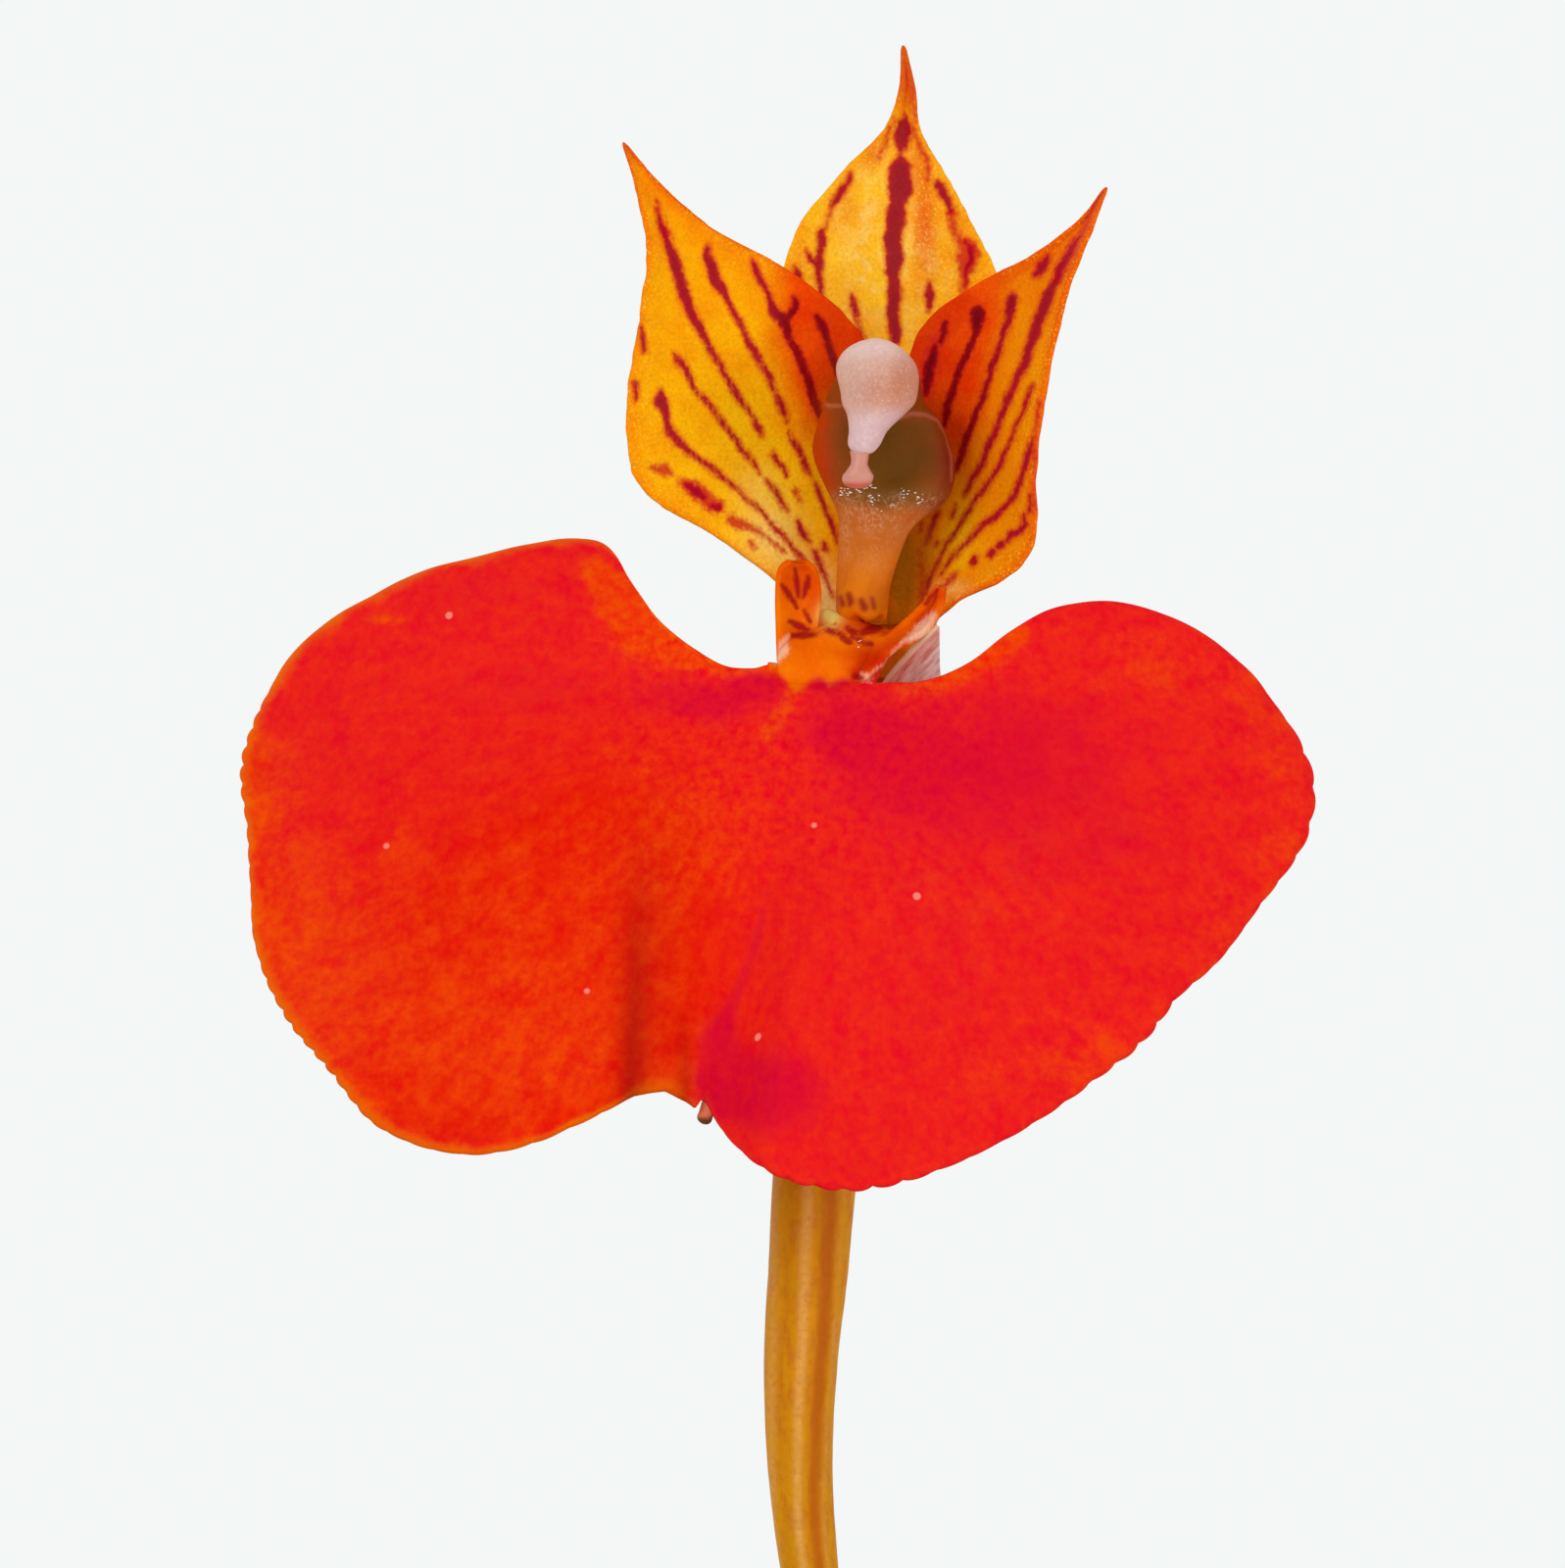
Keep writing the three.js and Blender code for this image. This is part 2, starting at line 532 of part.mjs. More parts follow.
// The claw carries the blade from under the column; an ear stands on each side of it.
const CLAW = {
  path: spline([
    [0.5, 0.7, -0.45],
    [0.1, -0.4, -0.2],
    [-0.45, -1.4, -0.15],
    [-0.9, -2.3, -0.75],
    [-1.15, -2.9, -2],
  ]),
  halfWidths: [0.8, 1.1, 1.45, 1.6, 1.5],
  halfThickness: 0.4,
};
const LEFT_EAR = {
  outer: [[-2.5, -2.1, -0.9], [-2.56, -1.8, 0.3], [-2.57, -1.5, 1.3], [-2.35, -1.35, 2.1], [-1.9, -1.2, 2.5]],
  inner: [[-1.2, -2, -0.7], [-1.15, -1.2, 0.5], [-1.04, -0.8, 1.3], [-1.2, -0.8, 2], [-1.7, -1.1, 2.45]],
};
const RIGHT_EAR = {
  inner: [[-0.1, -1.1, -0.2], [0.85, -0.9, -0.05], [1.55, -0.8, 0.35], [2.15, -0.8, 0.85], [2.6, -0.8, 1.6]],
  outer: [[0.2, -2.6, -1.45], [0.85, -2.3, -1.05], [1.5, -2, -0.4], [2.15, -1.6, 0.3], [2.95, -1, 1.4]],
};

function lip() {
  const steps = 8;
  const sides = 10;
  const claw = loft(
    Array.from({ length: steps + 1 }, (_, j) => {
      const t = j / steps;
      const centre = CLAW.path.getPoint(t);
      const onward = CLAW.path.getTangent(t);
      const up = new THREE.Vector3(1, 0, 0).cross(onward).normalize();
      return Array.from({ length: sides }, (_, i) => {
        const angle = (i / sides) * Math.PI * 2;
        const p = centre.clone().addScaledVector(up, Math.sin(angle) * CLAW.halfThickness);
        p.x += Math.cos(angle) * along(CLAW.halfWidths, t);
        return p;
      });
    }),
  );
  const leftEar = blade(betweenEdges(LEFT_EAR.outer, LEFT_EAR.inner), 5, 2, TEPAL_THICKNESS);
  const rightEar = blade(betweenEdges(RIGHT_EAR.inner, RIGHT_EAR.outer), 5, 2, TEPAL_THICKNESS);
  return union(lipBlade(), claw, leftEar, rightEar);
}

// Column: stacked ovals from its foot to its hooded top, hollowed in front by the stigma.
const COLUMN_ROWS = [
  [0.3, 0.8, 0.4, 0.6, 0.6],
  [0.27, 0.8, 0.8, 0.84, 0.8],
  [0.39, 0.7, 1.9, 0.93, 0.9],
  [0.67, 0.6, 3.3, 1.13, 1.05],
  [0.9, 0.5, 3.9, 1.35, 1.15],
  [1.18, 0.5, 4.4, 1.78, 1.3],
  [1.24, 0.5, 4.9, 2.08, 1.45],
  [1.12, 0.5, 5.7, 2.32, 1.6],
  [0.96, 0.5, 6.4, 2.3, 1.65],
  [0.9, 0.5, 7.2, 2.04, 1.6],
  [0.75, 0.5, 7.9, 1.66, 1.5],
  [0.82, 0.4, 8.7, 1.4, 1.3],
  [0.85, 0.3, 9.3, 0.8, 0.8],
];
const STIGMA = { centre: [1.25, -1.3, 6.15], radii: [1.85, 1.35, 1.4] };

function column() {
  const hollow = solid(new THREE.SphereGeometry(1, 12, 8).scale(...STIGMA.radii).translate(...STIGMA.centre));
  return stackedOvals(COLUMN_ROWS, 16).subtract(hollow);
}

// Anther cap: a rounded hood on the column's front that narrows down to a beak.
const CAP_ROWS = [
  [0.33, -2.2, 6.13, 0.33, 0.33],
  [0.36, -2.15, 6.37, 0.55, 0.55],
  [0.49, -2.1, 6.82, 0.66, 0.75],
  [0.71, -2, 7.32, 0.93, 0.9],
  [0.83, -1.9, 7.72, 1.19, 1],
  [0.86, -1.8, 8.12, 1.27, 1.1],
  [0.82, -1.7, 8.71, 1.34, 1.22],
  [0.77, -1.6, 9.11, 1.27, 1.2],
  [0.72, -1.5, 9.51, 0.98, 0.98],
  [0.74, -1.35, 9.86, 0.45, 0.45],
];
const POLLINARIUM_ROWS = [
  [0.15, -2.3, 4.95, 0.3, 0.24],
  [0.14, -2.3, 5.1, 0.46, 0.32],
  [0.16, -2.3, 5.31, 0.52, 0.36],
  [0.19, -2.3, 5.58, 0.38, 0.32],
  [0.22, -2.25, 5.85, 0.3, 0.3],
];
const antherCap = () => stackedOvals(CAP_ROWS, 14).subtract(stackedOvals(COLUMN_ROWS, 16, GAP));

// Ovary and its stalk, from the stem's node up to the back of the flower, with three low ribs.
const NODE_ON_STEM = [-1.5, 16.1, -12];
const OVARY_PATH = spline([
  NODE_ON_STEM,
  [-1.4, 13.5, -10.6],
  [-0.8, 10, -7.4],
  [0, 7, -3.6],
  [0.55, 5.1, -0.8],
  [0.7, 4.2, 0.3],
]);

function ovary() {
  const thickness = (t, angle) => 0.6 + 0.45 * clamp01(t * 1.6 - 0.5) + 0.08 * Math.cos(3 * angle) * t;
  return tube(OVARY_PATH, thickness, 14, 12);
}

// Assembly
const plant = new THREE.Group();
const flower = new THREE.Group();
flower.position.set(...FLOWER);
plant.add(flower);

function place(group, name, made, material) {
  const mesh = new THREE.Mesh(geometryOf(made), material);
  mesh.name = name;
  group.add(mesh);
}

place(plant, "pot", pot(), CLAY);
place(plant, "bark_bed", barkBed(), BARK_BROWN);
const roomForBulbs = union(...BULBS.map((bulb) => pseudobulb(bulb, GAP)));
place(plant, "rhizome_and_roots", rhizomeAndRoots().subtract(roomForBulbs), ROOT_SILVER);
BULBS.forEach((bulb) => place(plant, bulb.name, pseudobulb(bulb), BULB_GREEN));
LEAVES.forEach((spec) => place(plant, spec.name, leaf(spec).subtract(roomForBulbs), LEAF_GREEN));
place(plant, "flower_stem", stemWithBracts(), STEM_GREEN);
place(flower, "ovary_and_stalk", ovary(), OVARY_OLIVE);
place(flower, "joined_sepals_and_spur", joinedSepalsAndSpur(), SPUR_OCHRE);
place(flower, "dorsal_sepal", tepal(DORSAL_SEPAL.left, DORSAL_SEPAL.right, 0.5), PETAL_ORANGE);
place(flower, "petal_left", tepal(LEFT_PETAL.outer, LEFT_PETAL.inner, 0.5), PETAL_ORANGE);
place(flower, "petal_right", tepal(RIGHT_PETAL.inner, RIGHT_PETAL.outer, 1.1), PETAL_ORANGE);
place(flower, "lip", lip(), LIP_RED);
place(flower, "column", column(), COLUMN_AMBER);
place(flower, "anther_cap", antherCap(), ANTHER_PINK);
place(flower, "pollinarium", stackedOvals(POLLINARIUM_ROWS, 10), POLLEN_PINK);

export default plant;
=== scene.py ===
"""A small potted orchid with one open flower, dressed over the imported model.

Every piece is a surface of two parameters, worked out in millimetres in the model's own frame: the pot
stands on z = 0, the flower faces -Y, and the camera looks along +Y.
"""
import math
import bpy
import numpy as np
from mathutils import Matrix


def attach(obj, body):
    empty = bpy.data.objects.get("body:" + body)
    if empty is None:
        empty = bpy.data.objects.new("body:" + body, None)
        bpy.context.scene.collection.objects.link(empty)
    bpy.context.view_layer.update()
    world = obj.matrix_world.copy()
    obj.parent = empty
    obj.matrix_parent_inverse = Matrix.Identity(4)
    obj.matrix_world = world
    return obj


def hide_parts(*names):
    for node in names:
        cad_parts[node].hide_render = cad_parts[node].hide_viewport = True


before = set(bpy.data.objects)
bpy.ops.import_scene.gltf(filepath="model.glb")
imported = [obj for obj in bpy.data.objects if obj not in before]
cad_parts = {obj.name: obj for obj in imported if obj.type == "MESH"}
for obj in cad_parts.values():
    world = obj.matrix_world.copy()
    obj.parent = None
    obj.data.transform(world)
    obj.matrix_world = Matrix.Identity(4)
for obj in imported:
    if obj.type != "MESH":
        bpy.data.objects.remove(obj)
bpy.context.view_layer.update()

MM = 0.001
TAU = 2 * math.pi
BODY = "root"

# The photograph's frame: its size, the pixel at the flower's middle, and its scale where y is the flower's
PHOTO_WIDTH, PHOTO_HEIGHT = 1597, 1600
FLOWER_PIXEL = (870, 650)
PIXELS_PER_MM = 30.5
CAMERA_DISTANCE = 320
FLOWER = np.array([3.0, -17.0, 200.0])
AIM = np.array([(PHOTO_WIDTH / 2 - FLOWER_PIXEL[0]) / PIXELS_PER_MM, 0,
                (FLOWER_PIXEL[1] - PHOTO_HEIGHT / 2) / PIXELS_PER_MM])


# Curves and small maths

def spline(points, t, closed=False):
    """Catmull-Rom curve through evenly timed points, read at t from 0 to 1. Open ends go on by
    reflection."""
    points = np.asarray(points, float)
    if closed:
        knots = np.vstack([points[-1:], points, points[:2]])
        spans = len(points)
    else:
        knots = np.vstack([2 * points[:1] - points[1:2], points, 2 * points[-1:] - points[-2:-1]])
        spans = len(points) - 1
    place = np.clip(np.asarray(t, float), 0, 1) * spans
    first = np.minimum(place.astype(int), spans - 1)
    u = (place - first)[..., None]
    a, b, c, d = (knots[first + k] for k in range(4))
    return 0.5 * (2 * b + (c - a) * u + (2 * a - 5 * b + 4 * c - d) * u**2 + (3 * b - a - 3 * c + d) * u**3)


def eased(values, t):
    """A smooth curve of one number through values spaced evenly from t = 0 to t = 1."""
    return spline(np.asarray(values, float)[:, None], t)[..., 0]


ROUTE_STEPS = 600  # how finely a route is measured


def even_route(points, rows):
    """Points spaced evenly by length along the spline through points, as many as rows."""
    fine = spline(points, np.linspace(0, 1, ROUTE_STEPS))
    length = np.concatenate([[0], np.cumsum(np.linalg.norm(np.diff(fine, axis=0), axis=1))])
    wanted = np.linspace(0, length[-1], rows)
    return np.stack([np.interp(wanted, length, fine[:, k]) for k in range(3)], axis=1)


def unit(vectors):
    """Vectors of length one."""
    return vectors / np.maximum(np.linalg.norm(vectors, axis=-1, keepdims=True), 1e-9)


def bell(v):
    """exp(-v squared): one at nought and falling away on both sides."""
    return np.exp(-np.square(v))


def ramp(v, low, high):
    """Nought below low, one above high, and a smooth step between."""
    u = np.clip((v - low) / (high - low), 0, 1)
    return u * u * (3 - 2 * u)


def wobble(u, v, seed, octaves=3):
    """Smooth unevenness between about -1 and 1: a seeded sum of sine waves that cross u and v at odd
    angles, each octave twice as fine and half as high as the one before."""
    draw = np.random.default_rng(seed)
    total = 0
    for octave in range(octaves):
        for _ in range(4):
            angle, phase = draw.uniform(0, TAU, 2)
            pitch = 2.0**octave * draw.uniform(0.7, 1.3)
            along = u * math.cos(angle) + v * math.sin(angle)
            total = total + np.sin(TAU * pitch * along + phase) / 2**octave
    return total / 4


def turned(about_x, about_y, about_z):
    """The matrix that turns about X, then Y, then Z."""
    cx, sx, cy, sy = math.cos(about_x), math.sin(about_x), math.cos(about_y), math.sin(about_y)
    cz, sz = math.cos(about_z), math.sin(about_z)
    one = np.array([[1, 0, 0], [0, cx, -sx], [0, sx, cx]])
    two = np.array([[cy, 0, sy], [0, 1, 0], [-sy, 0, cy]])
    three = np.array([[cz, -sz, 0], [sz, cz, 0], [0, 0, 1]])
    return three @ two @ one


# Rings of points, the one form that every piece is made from

def revolved(profile, around):
    """Rings from a profile of radius and height, turned about the Z axis."""
    angle = np.linspace(0, TAU, around, endpoint=False)[None]
    radius, height = profile[:, 0:1], profile[:, 1:2]
    return np.stack([radius * np.cos(angle), radius * np.sin(angle), height + 0 * angle], axis=-1)


ODD_AXIS = (0.31, 0.9, 0.3)  # a direction that no path starts along


def tube(path, radius, around):
    """Rings round a path. At each point two axes square to the path, turned as little as can be from the
    point before, span a circle; radius is a number, or an array of rows by angles."""
    ahead = unit(np.gradient(path, axis=0))
    side = np.zeros_like(ahead)
    start = np.cross(ahead[0], ODD_AXIS)
    side[0] = start / np.linalg.norm(start)
    for row in range(1, len(path)):
        kept = side[row - 1] - ahead[row] * (side[row - 1] @ ahead[row])
        side[row] = kept / np.linalg.norm(kept)
    other = np.cross(ahead, side)
    angle = np.linspace(0, TAU, around, endpoint=False)
    reach = np.broadcast_to(np.asarray(radius, float), (len(path), around))[..., None]
    spokes = side[:, None] * np.cos(angle)[None, :, None] + other[:, None] * np.sin(angle)[None, :, None]
    return path[:, None] + spokes * reach


def ring_places(rows, around):
    """Where a tube's points lie: t along it from 0 to 1, as a column, and the angle round it, as a row."""
    return np.linspace(0, 1, rows)[:, None], np.linspace(0, TAU, around, endpoint=False)[None]


def rounded_ends(rows, share):
    """A factor for each row that is one along the middle and closes as a quarter circle over each end's
    share of the rows."""
    t = np.linspace(0, 1, rows)
    near = np.clip(np.minimum(t, 1 - t) / share, 0, 1)
    return np.sqrt(np.maximum(1 - (1 - near) ** 2, 0.0004))


def sheet_places(rows, cells):
    """Places (s, t, side) on a thin closed sheet whose rings run out along the front, where side is 1,
    round the rim and home along the back, where side is -1. Cells crowd towards the rims."""
    x = np.linspace(0, 2, 2 * cells, endpoint=False)
    there = np.where(x < 1, x, 2 - x)
    s = there - np.sin(TAU * there) * 0.11
    side = np.sign(np.sin(math.pi * x)) * np.abs(np.sin(math.pi * x)) ** 0.3
    t = np.linspace(0, 1, rows)[:, None]
    return [np.broadcast_to(values, (rows, 2 * cells)) for values in (s, t, side)]


def sheet(surface, thickness, rows, cells, tip=1.0):
    """A thin closed sheet: each ring is moved off the middle surface(s, t) by half the thickness, along the
    surface's normal. The thickness falls to the share tip over the last fifth, and to a rounded edge over
    the last hundredth at either end. Gives the rings and their s, t and side."""
    s, t, side = sheet_places(rows, cells)
    small = 2e-3
    across = surface(np.minimum(s + small, 1), t) - surface(np.maximum(s - small, 0), t)
    onward = surface(s, np.minimum(t + small, 1)) - surface(s, np.maximum(t - small, 0))
    normal = unit(np.cross(across, onward))
    ends = np.clip(np.minimum(t, 1 - t) / 0.012, 0.05, 1) ** 0.5 * (1 - (1 - tip) * ramp(t, 0.8, 1))
    rings = surface(s, t) + normal * (side * thickness / 2 * ends)[..., None]
    return rings, s, t, side


def between(left, right, hollow):
    """The surface between two edge curves, straight across and then moved by hollow(s, t)."""
    def surface(s, t):
        one = spline(left, t)
        other = spline(right, t)
        return one + (other - one) * s[..., None] + hollow(s, t)
    return surface


def seen(points):
    """Where points in the model's frame fall in the photograph, in its pixels."""
    local = points - FLOWER - AIM
    scale = PIXELS_PER_MM * CAMERA_DISTANCE / (CAMERA_DISTANCE + local[..., 1])
    x = PHOTO_WIDTH / 2 + local[..., 0] * scale
    y = PHOTO_HEIGHT / 2 - local[..., 2] * scale
    return np.stack([x, y], axis=-1)


def ink(pixels, strokes):
    """How far inside the nearest stroke each pixel lies, in millimetres, and negative outside. A stroke is
    a line through points of the photograph, each its x, its y and the stroke's width, all in pixels."""
    best = np.full(pixels.shape[:-1], -1.0)
    for stroke in strokes:
        for (ax, ay, a_width), (bx, by, b_width) in zip(stroke[:-1], stroke[1:]):
            start = np.array([ax, ay], float)
            along = np.array([bx - ax, by - ay], float)
            u = np.clip(((pixels - start) @ along) / (along @ along), 0, 1)
            away = np.linalg.norm(pixels - start - u[..., None] * along, axis=-1)
            best = np.maximum(best, ((a_width + (b_width - a_width) * u) / 2 - away) / PIXELS_PER_MM)
    return best


RAGGED_PITCH = 34  # pixels of one wave in a ragged edge


def shaken(pixels, reach, seed):
    """Pixels moved by about reach in a smooth uneven way, so that what is drawn there comes out ragged."""
    x, y = pixels[..., 0] / RAGGED_PITCH, pixels[..., 1] / RAGGED_PITCH
    return pixels + reach * np.stack([wobble(x, y, seed), wobble(x, y, seed + 1)], axis=-1)


def patches(pixels, places):
    """The sum of soft oval patches, each a bell of its distance over its half width and half height."""
    total = 0
    for x, y, wide, high, strength in places:
        total = total + strength * bell(np.hypot((pixels[..., 0] - x) / wide, (pixels[..., 1] - y) / high))
    return np.clip(total, 0, 1)


# Meshes

class Skin:
    """One closed surface through rings of points, each end shut by a fan, with values for its vertices."""

    def __init__(self, rings, slot=0, **values):
        rows, around = rings.shape[:2]
        self.points = np.vstack([rings.reshape(-1, 3), rings[0].mean(axis=0), rings[-1].mean(axis=0)])
        self.slot = slot
        self.values = {}
        for name, value in values.items():
            value = np.broadcast_to(np.asarray(value, float), (rows, around))
            self.values[name] = np.concatenate([value.ravel(), [value[0].mean(), value[-1].mean()]])
        here = (np.arange(rows - 1)[:, None] * around + np.arange(around)[None]).ravel()
        beside = (np.arange(rows - 1)[:, None] * around + (np.arange(around)[None] + 1) % around).ravel()
        self.quads = np.stack([here, beside, beside + around, here + around], axis=1)
        spoke = np.arange(around)
        turn = (spoke + 1) % around
        first = rows * around
        last = (rows - 1) * around
        self.fans = np.vstack([
            np.stack([np.full(around, first), turn, spoke], axis=1),
            np.stack([np.full(around, first + 1), last + spoke, last + turn], axis=1),
        ])
        if self.volume() < 0:
            self.quads = self.quads[:, ::-1]
            self.fans = self.fans[:, ::-1]

    def volume(self):
        """The enclosed volume by the divergence theorem, negative where the faces point in."""
        q = self.quads
        triangles = np.vstack([q[:, [0, 1, 2]], q[:, [0, 2, 3]], self.fans])
        a, b, c = (self.points[triangles[:, k]] for k in range(3))
        return np.einsum("ij,ij->", a, np.cross(b, c)) / 6


def build(name, skins, materials):
    """A mesh object from skins in millimetres, which rides on the plant's one body."""
    names = sorted({key for skin in skins for key in skin.values})
    points, faces, slots, start = [], [], [], 0
    for skin in skins:
        points.append(skin.points)
        faces += (skin.quads + start).tolist() + (skin.fans + start).tolist()
        slots += [skin.slot] * (len(skin.quads) + len(skin.fans))
        start += len(skin.points)
    mesh = bpy.data.meshes.new(name)
    mesh.from_pydata((np.vstack(points) * MM).tolist(), [], faces)
    for key in names:
        column = np.concatenate([skin.values.get(key, np.zeros(len(skin.points))) for skin in skins])
        mesh.attributes.new(key, "FLOAT", "POINT").data.foreach_set("value", column)
    for material in materials:
        mesh.materials.append(material)
    mesh.polygons.foreach_set("material_index", slots)
    mesh.polygons.foreach_set("use_smooth", np.ones(len(faces), bool))
    mesh.update()
    piece = bpy.data.objects.new(name, mesh)
    bpy.context.scene.collection.objects.link(piece)
    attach(piece, BODY)
    return piece


def stand_for(piece, node):
    """The piece takes a node's place: the node is hidden."""
    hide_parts(node)


# Shader maths

class Socket:
    """A value or colour in a material. Python's +, - and * on it add Math nodes."""

    def __init__(self, finish, link):
        self.finish = finish
        self.link = link

    def math(self, operation, *others):
        """A Math node on this value and the others."""
        return self.finish.node("Math", {"operation": operation}, [self, *others])

    def __add__(self, other):
        return self.math("ADD", other)

    def __sub__(self, other):
        return self.math("SUBTRACT", other)

    def __rsub__(self, other):
        return self.finish.node("Math", {"operation": "SUBTRACT"}, [other, self])

    def __mul__(self, other):
        return self.math("MULTIPLY", other)

    __radd__ = __add__
    __rmul__ = __mul__

    def sine(self):
        """The sine of this value in radians."""
        return self.math("SINE")

    def step(self, low, high):
        """Nought below low, one above high, and a smooth step between."""
        settings = {"interpolation_type": "SMOOTHSTEP"}
        return self.finish.node("MapRange", settings, [self, low, high, 0.0, 1.0])


class Finish:
    """A material in the making: each method adds a node and gives its result as a Socket."""

    def __init__(self, name):
        self.material = bpy.data.materials.new(name)
        self.material.use_nodes = True
        self.tree = self.material.node_tree
        self.tree.nodes.clear()
        self.output = self.tree.nodes.new("ShaderNodeOutputMaterial")
        self.place = self.node("TexCoord", {}, [], "Object")

    def node(self, kind, settings, values, output=0):
        """Adds a node: its settings first, then its sockets' values or links, by order or by name."""
        node = self.tree.nodes.new("ShaderNode" + kind)
        for key, setting in settings.items():
            setattr(node, key, setting)
        for key, value in values.items() if isinstance(values, dict) else enumerate(values):
            if isinstance(value, Socket):
                self.tree.links.new(value.link, node.inputs[key])
            else:
                node.inputs[key].default_value = value
        return Socket(self, node.outputs[output])

    def value(self, name):
        """A vertex value of the piece."""
        return self.node("Attribute", {"attribute_name": name}, [], "Fac")

    def stretched(self, x, y, z):
        """Object coordinates in millimetres, with each axis multiplied."""
        return self.node("VectorMath", {"operation": "MULTIPLY"}, [self.place, (x / MM, y / MM, z / MM)])

    def point(self, x, y):
        """Two values as a place in the plane."""
        return self.node("CombineXYZ", {}, [x, y, 0.0])

    def scaled(self, color, factor):
        """The colour, brighter or darker by a factor."""
        return self.node("VectorMath", {"operation": "SCALE"}, {0: color, 3: factor})

    def axis(self, letter):
        """One object coordinate in millimetres."""
        return self.node("SeparateXYZ", {}, [self.place], letter) * (1 / MM)

    def noise(self, per_mm, detail=3.0, place=None):
        """Smooth noise about 0.5, with so many lumps to the millimetre."""
        scale = per_mm if place else per_mm / MM
        values = {"Vector": place or self.place, "Scale": scale, "Detail": detail, "Roughness": 0.55}
        return self.node("TexNoise", {}, values, "Fac")

    def cells(self, per_mm):
        """Distance from the middle of the nearest of scattered cells."""
        values = {"Vector": self.place, "Scale": per_mm / MM}
        return self.node("TexVoronoi", {}, values, "Distance")

    def mix(self, share, one, other):
        """The first colour, turned into the other where share is one. The node's sockets are called by
        number, because the names are the same for numbers, vectors and colours."""
        return self.node("Mix", {"data_type": "RGBA"}, {0: share, 6: one, 7: other}, 2)

    def bump(self, height, depth_mm, strength=1.0):
        """A normal from a height between nought and one, which stands for so many millimetres."""
        return self.node("Bump", {}, {"Strength": strength, "Distance": depth_mm * MM, "Height": height})

    def surface(self, **values):
        """Ends the material in one Principled shader. Names are the shader's own, with _ for a space."""
        inputs = {key.replace("_", " "): value for key, value in values.items()}
        inputs = {key.replace("Ior", "IOR"): value for key, value in inputs.items()}
        shader = self.node("BsdfPrincipled", {}, inputs)
        self.tree.links.new(shader.link, self.output.inputs["Surface"])
        return self.material


def rgb(red, green, blue):
    """A colour read off a screen, from 0 to 255 each, as the light it stands for."""
    levels = [channel / 255 for channel in (red, green, blue)]
    return (*[v / 12.92 if v < 0.04045 else ((v + 0.055) / 1.055) ** 2.4 for v in levels], 1.0)


# How far light spreads in red, green and blue: in petals, and in the waxy parts in front of the column
PETAL_FLESH = {"Subsurface_Radius": (1.0, 0.45, 0.15)}
WAXY_FLESH = {"Subsurface_Radius": (1.0, 0.5, 0.4), "Subsurface_Weight": 0.3, "Subsurface_Scale": 0.4 * MM}


def tepal_finish():
    """Yellow-orange cells with painted glints, painted redder and darker as shade where another sepal lies
    behind and blocks the light through the petal, with crimson stripes whose ragged edges run into the
    cells beside them. Pale at the very base, with painted olive shade by the column."""
    m = Finish("tepal")
    grain = m.noise(9.0, 3.0)
    patches = m.noise(0.8)
    # painted glints: bright yellow specks for light glinting off the cells, strongest at the rims and the
    # base
    glitter = m.noise(12.0, 2.0).step(0.54, 0.72)
    ragged = (m.noise(6.0, 4.0) - 0.5) * 0.2
    stripe = m.value("stripe") + ragged
    smudge = m.value("smudge") + ragged * 2.0
    golden = m.mix(patches.step(0.35, 0.7), rgb(252, 194, 10), rgb(249, 176, 2))
    amber = m.mix(patches.step(0.35, 0.7), rgb(249, 174, 0), rgb(246, 154, 0))
    blush = m.mix(m.value("blush"), m.mix(m.value("golden"), amber, golden), rgb(232, 92, 0))
    glinting = m.mix(glitter * m.value("glitter") * 0.5, blush, rgb(255, 222, 70))
    # painted shade: redder and darker where the dorsal sepal lies behind and blocks the light through the
    # petal, darkest near the column
    behind = m.mix(patches.step(0.35, 0.65), rgb(236, 80, 0), rgb(226, 56, 0))
    backed = m.mix(m.value("backed"), glinting, m.mix(m.value("deep"), behind, rgb(206, 38, 0)))
    pale = m.value("pale") + m.value("mottled") * m.noise(1.5, 3.0).step(0.42, 0.62)
    paled = m.mix(pale, backed, rgb(255, 222, 130))
    smudged = m.mix(smudge.step(-0.16, 0.14) * 0.9, paled, rgb(206, 34, 26))
    stained = m.mix(stripe.step(-0.15, 0.0) * 0.45, smudged, rgb(214, 50, 8))
    # the stripes' ink, darker still in the painted overlap shade
    ink = m.mix(m.value("backed"), rgb(180, 2, 34), rgb(150, 0, 16))
    heart = m.mix(m.value("backed"), rgb(150, 0, 38), rgb(108, 0, 16))
    striped = m.mix(stripe.step(-0.05, 0.09) * 0.95, stained, m.mix(stripe.step(0.05, 0.2), ink, heart))
    tipped = m.mix(m.value("tip"), striped, rgb(212, 76, 22))
    # painted shade: olive where the column shades the base of the petals and dorsal sepal, amber lower down
    shaded = m.mix(m.value("shade"), tipped, m.mix(m.value("low"), rgb(178, 110, 4), rgb(206, 116, 6)))
    color = m.scaled(shaded, 0.64 + grain * 0.6 + m.noise(2.2) * 0.14)
    relief = m.cells(7.0) * 0.6 + grain * 0.4
    return m.surface(Base_Color=color, Roughness=0.5, Normal=m.bump(relief, 0.03, 0.6),
                     Specular_Ior_Level=0.02, Subsurface_Weight=0.12, Subsurface_Scale=0.15 * MM,
                     **PETAL_FLESH)


